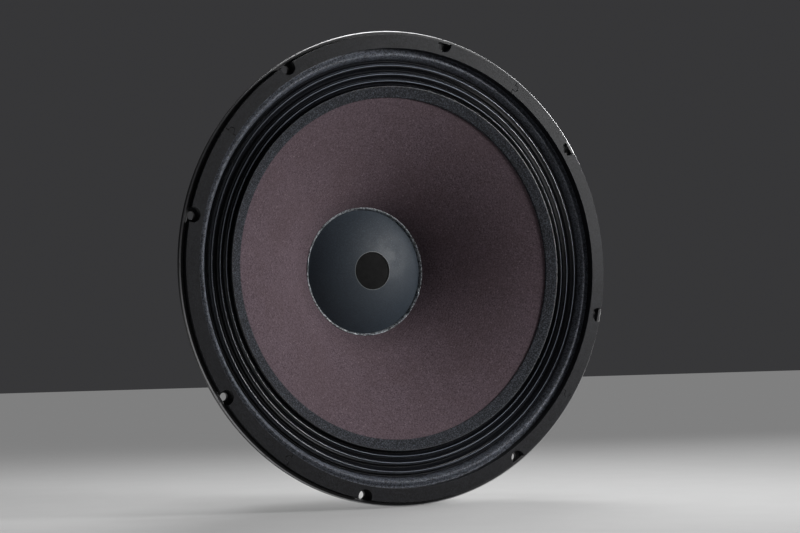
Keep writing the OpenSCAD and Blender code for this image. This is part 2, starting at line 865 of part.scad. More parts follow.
module flexible_lead(side) {
  route = [for (p = concat([lead_start], lead_middle, lead_last)) [p[0], side * p[1], p[2]]];
  last = len(route) - 1;
  points = [for (i = [0:last]) each tube_ring(route, i, lead_d / 2, lead_sides)];
  walls = [for (i = [0:last - 1], k = [0:lead_sides - 1])
    let (a = i * lead_sides + k, b = i * lead_sides + (k + 1) % lead_sides)
    each [[a, b, b + lead_sides], [a, b + lead_sides, a + lead_sides]]];
  ends = [
    reversed([for (k = [0:lead_sides - 1]) k]),
    [for (k = [0:lead_sides - 1]) last * lead_sides + k]
  ];
  color(tinsel_copper) at_terminals() polyhedron(points, concat(walls, ends));
}

// Pads of cement that hold the leads to the back of the cone
module lead_anchors() {
  slope = cone_slope(anchor_r);
  depth = cone_t + bond;
  color(glue_grey)
    at_terminals()
      for (side = [-1, 1])
        rotate([0, 0, side * anchor_turn])
          translate([anchor_r + depth * sin(slope), 0, cone_z(anchor_r) - depth * cos(slope)])
            rotate([0, 180 - slope, 0]) cylinder(r = anchor_pad_r, h = anchor_pad_t);
}

frame();
gasket_segment(0);  // gasket_segment_1
gasket_segment(1);  // gasket_segment_2
gasket_segment(2);  // gasket_segment_3
gasket_segment(3);  // gasket_segment_4
surround();
cone();
dust_cap();
vent_screen();
cap_glue_bead();
coil_former();
coil_winding();
spider();
top_plate();
magnet_ring();
pole_yoke();
base_screws();
terminal_board();
insulator_plate();
board_screws();
terminal_post(1);  // terminal_post_red
terminal_post(-1);  // terminal_post_black
push_cap(1, cap_red);  // push_cap_red
push_cap(-1, cap_black);  // push_cap_black
cap_spring(1);  // cap_spring_red
cap_spring(-1);  // cap_spring_black
solder_tab(1);  // solder_tab_red
solder_tab(-1);  // solder_tab_black
post_nuts();
flexible_lead(1);  // flexible_lead_red
flexible_lead(-1);  // flexible_lead_black
lead_anchors();
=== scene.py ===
"""Looks of a fifteen-inch bass loudspeaker driver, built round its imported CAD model.

Lengths in the classes are in millimetres, radii are counted from the drive axis, and a height is
counted along that axis towards the front, from the back face of the flange, as in the part's source.
"""

import logging
import math
from collections.abc import Callable, Sequence
from dataclasses import dataclass, field
from enum import Enum
from typing import Any

import bmesh
import bpy
from mathutils import Matrix, Vector, noise


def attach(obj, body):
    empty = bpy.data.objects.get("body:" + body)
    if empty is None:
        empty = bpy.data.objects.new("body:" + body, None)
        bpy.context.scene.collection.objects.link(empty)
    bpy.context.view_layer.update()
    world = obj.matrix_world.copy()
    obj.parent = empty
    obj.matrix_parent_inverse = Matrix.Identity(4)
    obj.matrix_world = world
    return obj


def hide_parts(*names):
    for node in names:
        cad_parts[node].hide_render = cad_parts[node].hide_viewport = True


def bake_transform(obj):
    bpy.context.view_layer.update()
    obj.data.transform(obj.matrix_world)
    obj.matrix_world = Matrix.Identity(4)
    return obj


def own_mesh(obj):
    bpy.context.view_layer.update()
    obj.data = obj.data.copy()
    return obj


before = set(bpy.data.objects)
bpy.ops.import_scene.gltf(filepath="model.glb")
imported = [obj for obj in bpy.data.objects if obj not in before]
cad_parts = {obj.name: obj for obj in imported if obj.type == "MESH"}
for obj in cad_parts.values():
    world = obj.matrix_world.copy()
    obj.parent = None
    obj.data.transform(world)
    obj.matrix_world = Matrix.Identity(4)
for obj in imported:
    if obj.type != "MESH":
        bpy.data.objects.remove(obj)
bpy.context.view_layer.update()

MM = 0.001

# The mounting holes and the terminals, by their angles round the drive axis in degrees.
HOLES = 8
HOLE_ANGLE = 77.5
HOLE_STEP = 360.0 / HOLES
TERMINAL_ANGLE = HOLE_ANGLE + HOLE_STEP

# The bodies that pieces ride on.
BASKET = "basket"
CONE = "cone_assembly"

# Angles from which an edge stays sharp, in degrees: on machined parts and in folds of cloth.
FACET = 15.0
FOLD = 75.0

# Rays with which a Bevel node feels for edges.
EDGE_SAMPLES = 6

# How close corners are merged, in metres, in new shapes and in copies of CAD nodes.
MERGED = 1e-6
MERGED_COPY = 2e-6
SLIVER = 1e-7

log = logging.getLogger("driver")

Point = tuple[float, float]
Colour = tuple[float, float, float]


def srgb(red: float, green: float, blue: float) -> Colour:
    """Turn a colour as a picture program shows it into a shader's linear colour, by the usual sRGB curve.

    Args:
        red: Red from 0 to 255.
        green: Green from 0 to 255.
        blue: Blue from 0 to 255.

    Returns:
        The linear colour.
    """
    shown = [value / 255 for value in (red, green, blue)]
    return tuple(v / 12.92 if v <= 0.04045 else ((v + 0.055) / 1.055) ** 2.4 for v in shown)


def at(radius: float, height: float, angle: float = 0.0) -> Vector:
    """Find a point of the row frame from its place round the drive axis.

    Args:
        radius: Distance from the axis.
        height: Height along the axis, towards the front.
        angle: Angle round the axis from +X towards +Z, in degrees.

    Returns:
        The point in metres.
    """
    turn = math.radians(angle)
    return Vector((radius * math.cos(turn), -height, radius * math.sin(turn))) * MM


def at_terminals(out: float, aside: float, height: float) -> Vector:
    """Find a point of the row frame from its place in the terminals' own frame.

    Args:
        out: Distance out from the axis.
        aside: Distance sideways.
        height: Height along the axis.

    Returns:
        The point in metres.
    """
    turn = math.radians(TERMINAL_ANGLE)
    x = out * math.cos(turn) - aside * math.sin(turn)
    z = out * math.sin(turn) + aside * math.cos(turn)
    return Vector((x, -height, z)) * MM


class Graph:
    """Adds nodes to one node tree and links them."""

    def __init__(self, tree: bpy.types.NodeTree) -> None:
        """Start on the node tree of a material or group."""
        self.tree = tree

    def node(self, kind: str, **settings: Any) -> bpy.types.Node:
        """Add a node.

        Args:
            kind: The node's type name.
            **settings: Properties to set on it.

        Returns:
            The new node.
        """
        made = self.tree.nodes.new(kind)
        for name, value in settings.items():
            setattr(made, name, value)
        return made

    def feed(self, target: bpy.types.NodeSocket, value: Any) -> None:
        """Give an input its value, by a link where the value is a socket.

        Args:
            target: The input.
            value: A socket, a number, a colour or a vector.
        """
        if isinstance(value, bpy.types.NodeSocket):
            self.tree.links.new(value, target)
        elif target.type == "RGBA" and len(value) == 3:
            target.default_value = (*value, 1.0)
        else:
            target.default_value = value

    def place(self) -> Any:
        """Find the point's place in its object's own coordinates."""
        return self.node("ShaderNodeTexCoord").outputs["Object"]

    def split(self, vector: Any) -> Any:
        """Add a Separate XYZ node.

        Args:
            vector: The vector's socket.

        Returns:
            The sockets of its three parts.
        """
        made = self.node("ShaderNodeSeparateXYZ")
        self.feed(made.inputs[0], vector)
        return made.outputs

    def cloud(self, scale: float) -> Any:
        """Add plain noise in the object's own coordinates.

        Args:
            scale: The number of its waves in a metre.

        Returns:
            The noise's socket, from 0 to 1.
        """
        made = self.node("ShaderNodeTexNoise")
        self.feed(made.inputs["Vector"], self.place())
        self.feed(made.inputs["Scale"], scale)
        return made.outputs[0]

    def math(self, operation: str, first: Any, second: Any = 0.0, clamp: bool = False) -> Any:
        """Add a Math node.

        Args:
            operation: The operation's name.
            first: The first value or socket.
            second: The second value or socket.
            clamp: Whether the result is kept from 0 to 1.

        Returns:
            The result's socket.
        """
        made = self.node("ShaderNodeMath", operation=operation, use_clamp=clamp)
        self.feed(made.inputs[0], first)
        self.feed(made.inputs[1], second)
        return made.outputs[0]

    def times(self, first: Any, second: Any, third: Any = None, clamp: bool = False) -> Any:
        """Multiply two or three values.

        Args:
            first: The first value or socket.
            second: The second value or socket.
            third: The third value or socket, or None for two values.
            clamp: Whether the result is kept from 0 to 1.

        Returns:
            The product's socket.
        """
        if third is None:
            return self.math("MULTIPLY", first, second, clamp)
        return self.math("MULTIPLY", self.math("MULTIPLY", first, second), third, clamp)

    def remap(self, value: Any, low: Any, high: Any, to_low: float = 0.0, to_high: float = 1.0) -> Any:
        """Add a smooth Map Range node.

        Args:
            value: The value's socket.
            low: The value that gives to_low.
            high: The value that gives to_high.
            to_low: The lowest result.
            to_high: The highest result.

        Returns:
            The result's socket.
        """
        made = self.node("ShaderNodeMapRange", interpolation_type="SMOOTHSTEP")
        for socket, given in zip(made.inputs, (value, low, high, to_low, to_high)):
            self.feed(socket, given)
        return made.outputs[0]

    def mix(self, share: Any, first: Any, second: Any) -> Any:
        """Add a Mix node for colours.

        Args:
            share: The second colour's share.
            first: The first colour or socket.
            second: The second colour or socket.

        Returns:
            The mixed colour's socket.
        """
        made = self.node("ShaderNodeMix", data_type="RGBA")
        self.feed(made.inputs[0], share)
        self.feed(made.inputs[6], first)
        self.feed(made.inputs[7], second)
        return made.outputs[2]

    def effect(self, group: bpy.types.NodeTree, **values: Any) -> bpy.types.NodeOutputs:
        """Place a node group.

        Args:
            group: The group.
            **values: A value or socket for each of its inputs, with _ for a space.

        Returns:
            The placed group's outputs.
        """
        made = self.node("ShaderNodeGroup", node_tree=group)
        for name, value in values.items():
            self.feed(made.inputs[name.replace("_", " ")], value)
        return made.outputs


class Effects:
    """Shader node groups that several finishes share, each built once.

    GRAIN_DETAIL counts the octaves of the grain. The other values are the waves in a metre of the
    noises that the groups add by themselves.
    """

    GRAIN_DETAIL = 3.0
    THREAD_DRIFT = 260.0
    WORN_PATCHES = 420.0
    DUST_DRIFTS = 22.0
    DUST_SPECKS = 900.0

    def __init__(self) -> None:
        """Build the groups."""
        self.round_axis = self._round_axis()
        self.grain = self._grain()
        self.weave = self._weave()
        self.edge_wear_and_highlight = self._edge_wear_and_highlight()
        self.dust = self._dust()
        self.turning = self._turning()

    def _group(self, name: str, takes: dict[str, float], gives: Sequence[str]) -> tuple:
        """Start a group whose inputs and outputs are all numbers.

        Args:
            name: The group's name.
            takes: The inputs' names and default values.
            gives: The outputs' names.

        Returns:
            The tree, its Graph, its inputs and its outputs.
        """
        tree = bpy.data.node_groups.new(name, "ShaderNodeTree")
        for label, value in takes.items():
            socket = tree.interface.new_socket(label, in_out="INPUT", socket_type="NodeSocketFloat")
            socket.default_value = value
        for label in gives:
            tree.interface.new_socket(label, in_out="OUTPUT", socket_type="NodeSocketFloat")
        graph = Graph(tree)
        entry = graph.node("NodeGroupInput").outputs
        result = graph.node("NodeGroupOutput").inputs
        return tree, graph, entry, result

    def _round_axis(self) -> bpy.types.NodeTree:
        """Distance from the drive axis and depth along it in millimetres, and the angle in turns.

        Returns:
            The group.
        """
        tree, graph, _, result = self._group("round_axis", {}, ("Radius", "Turn", "Depth"))
        x, y, z = graph.split(graph.place())
        squares = graph.math("ADD", graph.times(x, x), graph.times(z, z))
        radius = graph.math("SQRT", squares)
        graph.feed(result["Radius"], graph.math("DIVIDE", radius, MM))
        graph.feed(result["Turn"], graph.math("DIVIDE", graph.math("ARCTAN2", z, x), math.tau))
        graph.feed(result["Depth"], graph.math("DIVIDE", y, MM))
        return tree

    def _grain(self) -> bpy.types.NodeTree:
        """Random grain of one size, as a height from 0 to 1 and as a mask between two levels.

        Returns:
            The group.
        """
        takes = {"Size": 1.0, "Roughness": 0.6, "Low": 0.45, "High": 0.6, "Seed": 0.0}
        tree, graph, entry, result = self._group("grain", takes, ("Height", "Mask"))
        cloud = graph.node("ShaderNodeTexNoise", noise_dimensions="4D")
        graph.feed(cloud.inputs["Vector"], graph.place())
        graph.feed(cloud.inputs["W"], entry["Seed"])
        graph.feed(cloud.inputs["Scale"], graph.math("DIVIDE", 1 / MM, entry["Size"]))
        graph.feed(cloud.inputs["Roughness"], entry["Roughness"])
        graph.feed(cloud.inputs["Detail"], self.GRAIN_DETAIL)
        graph.feed(result["Height"], cloud.outputs[0])
        graph.feed(result["Mask"], graph.remap(cloud.outputs[0], entry["Low"], entry["High"]))
        return tree

    def _weave(self) -> bpy.types.NodeTree:
        """Plain weave pressed along the axis, as a height and as a mask of the gaps.

        Returns:
            The group.
        """
        takes = {"Pitch": 1.0, "Waver": 0.2}
        tree, graph, entry, result = self._group("weave", takes, ("Height", "Gaps"))
        x, _, z = graph.split(graph.place())
        drift = graph.math("SUBTRACT", graph.cloud(self.THREAD_DRIFT), 0.5)
        shift = graph.times(drift, entry["Waver"])
        frequency = graph.math("DIVIDE", math.pi / MM, entry["Pitch"])
        waves = []
        for side in (x, z):
            moved = graph.math("ADD", graph.times(side, frequency), graph.times(shift, math.tau))
            waves.append(graph.math("SINE", moved))
        warp, weft = (graph.math("ABSOLUTE", wave) for wave in waves)
        over = graph.math("GREATER_THAN", graph.times(*waves), 0.0)
        under = graph.math("SUBTRACT", 1.0, over)
        height = graph.math("ADD", graph.times(warp, over), graph.times(weft, under))
        graph.feed(result["Height"], height)
        both = graph.math("MAXIMUM", warp, weft)
        graph.feed(result["Gaps"], graph.remap(both, low=0.75, high=0.35))
        return tree

    def _edge_wear_and_highlight(self) -> bpy.types.NodeTree:
        """Mask of convex edges, broken up by noise.

        Returns:
            The group.
        """
        takes = {"Width": 1.0, "Amount": 1.0}
        tree, graph, entry, result = self._group("edge_wear_and_highlight", takes, ("Mask",))
        rounded = graph.node("ShaderNodeBevel", samples=EDGE_SAMPLES)
        graph.feed(rounded.inputs["Radius"], graph.times(entry["Width"], MM))
        flat = graph.node("ShaderNodeNewGeometry").outputs["Normal"]
        dot = graph.node("ShaderNodeVectorMath", operation="DOT_PRODUCT")
        graph.feed(dot.inputs[0], rounded.outputs[0])
        graph.feed(dot.inputs[1], flat)
        edge = graph.remap(dot.outputs["Value"], low=0.995, high=0.9)
        broken = graph.remap(graph.cloud(self.WORN_PATCHES), low=0.35, high=0.62)
        graph.feed(result["Mask"], graph.times(edge, broken, entry["Amount"]))
        return tree

    def _dust(self) -> bpy.types.NodeTree:
        """Mask of fine dust, in soft drifts of small specks.

        Returns:
            The group.
        """
        tree, graph, entry, result = self._group("dust", {"Amount": 0.1}, ("Mask",))
        soft = graph.remap(graph.cloud(self.DUST_DRIFTS), low=0.35, high=0.75)
        fine = graph.remap(graph.cloud(self.DUST_SPECKS), low=0.5, high=0.72)
        graph.feed(result["Mask"], graph.times(soft, fine, entry["Amount"]))
        return tree

    def _turning(self) -> bpy.types.NodeTree:
        """Height of the fine rings that a lathe leaves round the drive axis.

        Returns:
            The group.
        """
        tree, graph, entry, result = self._group("turning", {"Pitch": 0.4}, ("Height",))
        around = graph.effect(self.round_axis)
        both = graph.math("ADD", around["Radius"], around["Depth"])
        rings = graph.node("ShaderNodeTexNoise", noise_dimensions="1D")
        graph.feed(rings.inputs["W"], graph.math("DIVIDE", both, entry["Pitch"]))
        graph.feed(rings.inputs["Scale"], 1.0)
        graph.feed(result["Height"], rings.outputs[0])
        return tree


EFFECTS = Effects()


@dataclass(frozen=True)
class Finish:
    """A plain coloured finish with fine grain, which the special finishes extend."""

    name: str
    slot: str
    colour: Colour
    shade: Colour
    roughness: float = 0.5
    metallic: float = 0.0
    specular: float = 0.5
    coat: float = 0.0
    coat_roughness: float = 0.2
    grain_size: float = 1.0
    grain_depth: float = 0.05

    def material(self) -> bpy.types.Material:
        """Build the material, or find it where it is already built.

        Returns:
            The material.
        """
        known = bpy.data.materials.get(self.name)
        if known is not None:
            return known
        made = bpy.data.materials.new(self.name)
        made.use_nodes = True
        graph = Graph(made.node_tree)
        shader = made.node_tree.nodes["Principled BSDF"]
        shader.inputs["Base Color"].default_value = (*self.colour, 1.0)
        shader.inputs["Roughness"].default_value = self.roughness
        shader.inputs["Metallic"].default_value = self.metallic
        shader.inputs["Specular IOR Level"].default_value = self.specular
        shader.inputs["Coat Weight"].default_value = self.coat
        shader.inputs["Coat Roughness"].default_value = self.coat_roughness
        self.paint(graph, shader)
        return made

    def paint(self, graph: Graph, shader: bpy.types.Node) -> None:
        """Add the pattern to the shader.

        Args:
            graph: The material's graph.
            shader: Its Principled BSDF.
        """
        grain = graph.effect(EFFECTS.grain, Size=self.grain_size, Low=0.38, High=0.62)
        graph.feed(shader.inputs["Base Color"], graph.mix(grain["Mask"], self.shade, self.colour))
        self.emboss(graph, shader, grain["Height"])

    def lit(self, share: float) -> Colour:
        """The finish's colour, made brighter by a share and at most white, for a painted highlight."""
        return tuple(min(1.0, share * value) for value in self.colour)

    def vary_gloss(self, graph: Graph, shader: bpy.types.Node, mask: Any, low: float, high: float) -> None:
        """Let a mask add to the roughness, from low where it is 0 to high where it is 1."""
        rough = graph.remap(mask, 0.0, 1.0, self.roughness + low, self.roughness + high)
        graph.feed(shader.inputs["Roughness"], rough)

    def emboss(self, graph: Graph, shader: bpy.types.Node, height: Any, edge: float = 0.0) -> None:
        """Let a height raise the surface by the grain's depth, over edges rounded by a small radius.

        Args:
            graph: The material's graph.
            shader: Its Principled BSDF.
            height: The height's socket, from 0 to 1.
            edge: The radius of the edges, in millimetres.
        """
        bump = graph.node("ShaderNodeBump")
        bump.inputs["Strength"].default_value = 1.0
        bump.inputs["Distance"].default_value = self.grain_depth * MM
        graph.feed(bump.inputs["Height"], height)
        if edge:
            rounded = graph.node("ShaderNodeBevel", samples=EDGE_SAMPLES)
            rounded.inputs["Radius"].default_value = edge * MM
            graph.feed(bump.inputs["Normal"], rounded.outputs[0])
        graph.feed(shader.inputs["Normal"], bump.outputs[0])


@dataclass(frozen=True)
class PaintedCasting(Finish):
    """Satin paint with a fine orange peel on a casting, bare on the front of the rim's lip."""

    bare: Colour = (0.42, 0.42, 0.43)
    bare_roughness: float = 0.42
    dust: Colour = srgb(150, 146, 140)
    rim_radius: float = 192.0
    rim_blend: float = 0.5
    lip_height: float = 4.2
    lip_blend: float = 1.0
    edge_radius: float = 0.75
    sheen_change: float = 0.06

    def paint(self, graph: Graph, shader: bpy.types.Node) -> None:
        """Add orange peel, dust, worn edges and the bare rim.

        Args:
            graph: The material's graph.
            shader: Its Principled BSDF.
        """
        around = graph.effect(EFFECTS.round_axis)
        peel = graph.effect(EFFECTS.grain, Size=1.3, Roughness=0.45, Low=0.35, High=0.7)
        cloud = graph.effect(EFFECTS.grain, Size=14.0, Low=0.35, High=0.65, Seed=2.0)
        pale_marks = graph.effect(EFFECTS.edge_wear_and_highlight, Width=0.5, Amount=0.5)
        dust = graph.effect(EFFECTS.dust, Amount=0.16)
        rim = graph.remap(around["Radius"], self.rim_radius, self.rim_radius + self.rim_blend)
        front = graph.remap(around["Depth"], -self.lip_height, -self.lip_height - self.lip_blend)
        patches = graph.effect(EFFECTS.grain, Size=5.0, Low=0.2, High=0.4, Seed=7.0)
        lip = graph.times(rim, front, patches["Mask"])
        bare = graph.math("MAXIMUM", lip, pale_marks["Mask"])
        paint = graph.mix(cloud["Mask"], self.shade, self.colour)
        dusty = graph.mix(dust["Mask"], paint, self.dust)
        graph.feed(shader.inputs["Base Color"], graph.mix(bare, dusty, self.bare))
        graph.feed(shader.inputs["Metallic"], bare)
        even, change = self.roughness, self.sheen_change
        satin = graph.remap(cloud["Mask"], 0.0, 1.0, even - change, even + change)
        kept = graph.times(satin, graph.math("SUBTRACT", 1.0, bare))
        rough = graph.math("ADD", kept, graph.times(bare, self.bare_roughness))
        graph.feed(shader.inputs["Roughness"], rough)
        painted = graph.times(peel["Height"], graph.math("SUBTRACT", 1.0, lip))
        self.emboss(graph, shader, painted, edge=self.edge_radius)


@dataclass(frozen=True)
class GasketSheet(Finish):
    """Pressed fibre sheet with a fine mixed grain and slightly scuffed edges."""

    scuffed: Colour = srgb(104, 104, 106)
    dust: Colour = srgb(150, 148, 145)
    stain_share: float = 0.35

    def paint(self, graph: Graph, shader: bpy.types.Node) -> None:
        """Add fine grain, soft stains and paler edges.

        Args:
            graph: The material's graph.
            shader: Its Principled BSDF.
        """
        fine = graph.effect(EFFECTS.grain, Size=1.5, Roughness=0.8, Low=0.42, High=0.6)
        stain = graph.effect(EFFECTS.grain, Size=30.0, Low=0.36, High=0.66, Seed=4.0)
        pale_marks = graph.effect(EFFECTS.edge_wear_and_highlight, Width=0.5, Amount=0.35)
        dust = graph.effect(EFFECTS.dust, Amount=0.045)
        base = graph.mix(fine["Mask"], self.shade, self.colour)
        soft = graph.mix(graph.times(stain["Mask"], self.stain_share), base, self.colour)
        brightened = graph.mix(pale_marks["Mask"], soft, self.scuffed)
        graph.feed(shader.inputs["Base Color"], graph.mix(dust["Mask"], brightened, self.dust))
        self.emboss(graph, shader, fine["Height"])


@dataclass(frozen=True)
class DopedCloth(Finish):
    """Woven cloth under black dope, glossy in the pleats and grainy on the cuff and roll.

    Radii and widths are in millimetres. The outer roll starts where the pleats end. The crests get
    thin lines of painted highlight beside them, each a distance outwards and a strength, on faces
    turned to the front. One pair gives the painted highlight's strength at the sides and at the top
    and bottom, specks the specks' strength on the cuff and on the roll, and gloss the roughness of the
    pleats and of the rest. A share says how strongly a tone shows.
    """

    raised: Colour = srgb(29, 31, 37)
    specks: Colour = srgb(98, 103, 114)
    flecks: Colour = srgb(122, 128, 140)
    # Colour of the painted highlight on the crests.
    crest_highlight: Colour = srgb(124, 130, 142)
    pleats_start: float = 148.4
    pleats_end: float = 169.5
    roll_blend: float = 2.5
    pitch: float = 0.85
    crests: tuple[float, ...] = (152.9, 158.3, 165.5)
    crest_lines: tuple[Point, ...] = ((0.0, 1.0), (1.25, 0.45))
    line_half: float = 0.45
    line_core: float = 0.1
    line_tilt: float = 0.3
    line_least: float = 0.55
    # Strength of the painted highlight at the sides and at the top and bottom.
    pale_marks: Point = (0.42, 1.2)
    cuff_blend: float = 1.0
    first_blend: float = 0.4
    last_blend: float = 1.6
    smoothness: float = 0.93
    specks_strength: Point = (0.5, 2.2)
    loose_share: float = 0.4
    cloud_share: float = 0.5
    raised_share: float = 0.4
    fleck_share: float = 0.6
    gloss: Point = (0.2, 0.5)
    cuff_matt: float = 0.45

    def painted_crest_highlights(self, graph: Graph, around: Any) -> Any:
        """Mask the thin lines of painted highlight on the pleats' crests, most at the top and bottom and
        on faces turned to the front.

        Args:
            graph: The material's graph.
            around: The outputs that give the place round the drive axis.

        Returns:
            The mask's socket.
        """
        # Painted highlight: stronger at the top and bottom of the ring than at its sides.
        upright = graph.math("ABSOLUTE", graph.math("SINE", graph.times(around["Turn"], math.tau)))
        up_down_highlight = graph.remap(upright, 0.5, 1.0, *self.pale_marks)
        lines = 0.0
        for crest in self.crests:
            for offset, strength in self.crest_lines:
                aside = graph.math("ABSOLUTE", graph.math("SUBTRACT", around["Radius"], crest + offset))
                line = graph.remap(aside, self.line_half, self.line_core, 0.0, strength)
                lines = graph.math("MAXIMUM", lines, line)
        broken = graph.effect(EFFECTS.grain, Size=6.0, Roughness=0.6, Low=0.25, High=0.5, Seed=8.0)
        sides = graph.split(graph.node("ShaderNodeNewGeometry").outputs["Normal"])
        # Painted highlight: only faces turned towards the front get the lines.
        front = graph.times(lines, graph.remap(sides["Y"], 0.0, -self.line_tilt))
        patchy = graph.times(up_down_highlight, graph.remap(broken["Mask"], 0.0, 1.0, self.line_least))
        return graph.times(front, patchy)

    def paint(self, graph: Graph, shader: bpy.types.Node) -> None:
        """Add the weave, its grain, the smoother pleats and the painted highlights on their crests.

        Args:
            graph: The material's graph.
            shader: Its Principled BSDF.
        """
        around = graph.effect(EFFECTS.round_axis)
        radius = around["Radius"]
        cuff_end = self.pleats_start - self.cuff_blend
        roll_full = self.pleats_end + self.roll_blend
        after = graph.remap(radius, cuff_end, self.pleats_start + self.first_blend)
        before = graph.remap(radius, self.pleats_end + self.last_blend, self.pleats_end)
        grainy = graph.math("SUBTRACT", 1.0, graph.times(after, before, self.smoothness))
        weave = graph.effect(EFFECTS.weave, Pitch=self.pitch, Waver=0.5)
        speck = graph.effect(EFFECTS.grain, Size=1.2, Roughness=0.85, Low=0.48, High=0.59, Seed=3.0)
        cloud = graph.effect(EFFECTS.grain, Size=9.0, Low=0.35, High=0.65, Seed=5.0)
        coarse = graph.effect(EFFECTS.grain, Size=1.9, Roughness=0.75, Low=0.5, High=0.6, Seed=11.0)
        roll = graph.remap(radius, self.pleats_end, roll_full, *self.specks_strength)
        woven = graph.times(weave["Height"], speck["Mask"])
        speckled = graph.math("ADD", woven, graph.times(speck["Mask"], self.loose_share))
        bright = graph.times(speckled, roll, grainy, clamp=True)
        cloth = graph.mix(graph.times(cloud["Mask"], self.cloud_share), self.shade, self.colour)
        lift = graph.times(grainy, graph.times(roll, self.raised_share), clamp=True)
        doped = graph.mix(bright, graph.mix(lift, cloth, self.raised), self.specks)
        outer = graph.remap(radius, self.pleats_end, roll_full, 0.0, self.fleck_share)
        flecked = graph.mix(graph.times(coarse["Mask"], outer), doped, self.flecks)
        # Painted highlight on the crests, mixed over the cloth in a pale colour.
        brightened = self.painted_crest_highlights(graph, around)
        graph.feed(shader.inputs["Base Color"], graph.mix(brightened, flecked, self.crest_highlight))
        gloss = graph.remap(grainy, 1.0 - self.smoothness, 1.0, *self.gloss)
        matt = graph.remap(radius, self.pleats_start, cuff_end, 0.0, self.cuff_matt)
        graph.feed(shader.inputs["Roughness"], graph.math("ADD", gloss, matt))
        height = graph.times(graph.math("ADD", weave["Height"], speck["Height"]), grainy)
        self.emboss(graph, shader, height)


@dataclass(frozen=True)
class FeltedPaper(Finish):
    """Tinted paper felted on a fine screen, with fibres, soft clouds of tone and painted shade at the
    neck.

    The streaks run out from the neck: streak_turns of them in a turn, streak_length in a millimetre.
    A share says how strongly a tone shows.
    """

    clouds: Colour = srgb(86, 72, 76)
    streaks: Colour = srgb(110, 96, 102)
    flecks: Colour = srgb(146, 130, 136)
    # Colour of the painted shade at the cone's neck, deep round the dust cap.
    neck: Colour = srgb(60, 51, 56)
    neck_shade_start: float = 74.0
    neck_shade_end: float = 52.0
    streak_turns: float = 26.0
    streak_length: float = 0.012
    cloud_share: float = 0.45
    streak_share: float = 0.07
    fleck_share: float = 0.65
    neck_shade_share: float = 0.35
    screen_share: float = 0.5

    def paint(self, graph: Graph, shader: bpy.types.Node) -> None:
        """Add the screen's print, fibres, clouds, streaks and painted shade at the neck.

        Args:
            graph: The material's graph.
            shader: Its Principled BSDF.
        """
        around = graph.effect(EFFECTS.round_axis)
        screen = graph.effect(EFFECTS.weave, Pitch=1.15, Waver=0.9)
        fibre = graph.effect(EFFECTS.grain, Size=1.4, Roughness=0.85, Low=0.4, High=0.62)
        light = graph.effect(EFFECTS.grain, Size=1.1, Roughness=0.7, Low=0.55, High=0.7, Seed=6.0)
        cloud = graph.effect(EFFECTS.grain, Size=34.0, Low=0.34, High=0.68, Seed=1.0)
        # Painted shade: darker towards the neck, where the cone runs deep round the dust cap.
        neck = graph.remap(around["Radius"], self.neck_shade_start, self.neck_shade_end)
        polar = graph.node("ShaderNodeCombineXYZ")
        graph.feed(polar.inputs[0], graph.times(around["Turn"], self.streak_turns))
        graph.feed(polar.inputs[1], graph.times(around["Radius"], self.streak_length))
        rays = graph.node("ShaderNodeTexNoise", noise_dimensions="2D")
        graph.feed(rays.inputs["Vector"], polar.outputs[0])
        graph.feed(rays.inputs["Scale"], 1.0)
        base = graph.mix(fibre["Mask"], self.shade, self.colour)
        clouded = graph.mix(graph.times(cloud["Mask"], self.cloud_share), base, self.clouds)
        streaks = graph.remap(rays.outputs[0], low=0.35, high=0.7, to_high=self.streak_share)
        streaked = graph.mix(streaks, clouded, self.streaks)
        flecked = graph.mix(graph.times(light["Mask"], self.fleck_share), streaked, self.flecks)
        neck_shaded = graph.mix(graph.times(neck, self.neck_shade_share), flecked, self.neck)
        graph.feed(shader.inputs["Base Color"], neck_shaded)
        height = graph.math("ADD", graph.times(screen["Height"], self.screen_share), fibre["Height"])
        self.emboss(graph, shader, height)


@dataclass(frozen=True)
class LacqueredDome(Finish):
    """Smooth pressed paper under satin lacquer, with a little dust and a bare cut edge at the vent.

    The cut edge's tone fades between two distances outside the vent.
    """

    cut_edge: Colour = srgb(104, 108, 110)
    dust: Colour = srgb(120, 128, 136)
    vent_radius: float = 15.8
    cut_full: float = 0.25
    cut_gone: float = 0.55

    def paint(self, graph: Graph, shader: bpy.types.Node) -> None:
        """Add faint grain, a cloudy sheen and dust.

        Args:
            graph: The material's graph.
            shader: Its Principled BSDF.
        """
        fine = graph.effect(EFFECTS.grain, Size=1.0, Roughness=0.7, Low=0.35, High=0.68)
        cloud = graph.effect(EFFECTS.grain, Size=16.0, Low=0.35, High=0.65, Seed=3.0)
        dust = graph.effect(EFFECTS.dust, Amount=0.12)
        around = graph.effect(EFFECTS.round_axis)
        gone, full = self.vent_radius + self.cut_gone, self.vent_radius + self.cut_full
        cut = graph.remap(around["Radius"], gone, full)
        base = graph.mix(fine["Mask"], self.shade, self.colour)
        dusty = graph.mix(dust["Mask"], base, self.dust)
        graph.feed(shader.inputs["Base Color"], graph.mix(cut, dusty, self.cut_edge))
        self.vary_gloss(graph, shader, cloud["Mask"], low=-0.04, high=0.05)
        self.emboss(graph, shader, fine["Height"])


@dataclass(frozen=True)
class WovenSheet(Finish):
    """Open woven cloth or screen whose gaps are darker than its threads."""

    pitch: float = 1.0
    waver: float = 0.25
    gap: Colour = (0.01, 0.01, 0.01)

    def paint(self, graph: Graph, shader: bpy.types.Node) -> None:
        """Add the threads and their gaps.

        Args:
            graph: The material's graph.
            shader: Its Principled BSDF.
        """
        weave = graph.effect(EFFECTS.weave, Pitch=self.pitch, Waver=self.waver)
        cloud = graph.effect(EFFECTS.grain, Size=7.0, Low=0.35, High=0.65)
        threads = graph.mix(cloud["Mask"], self.shade, self.colour)
        graph.feed(shader.inputs["Base Color"], graph.mix(weave["Gaps"], threads, self.gap))
        self.emboss(graph, shader, weave["Height"])


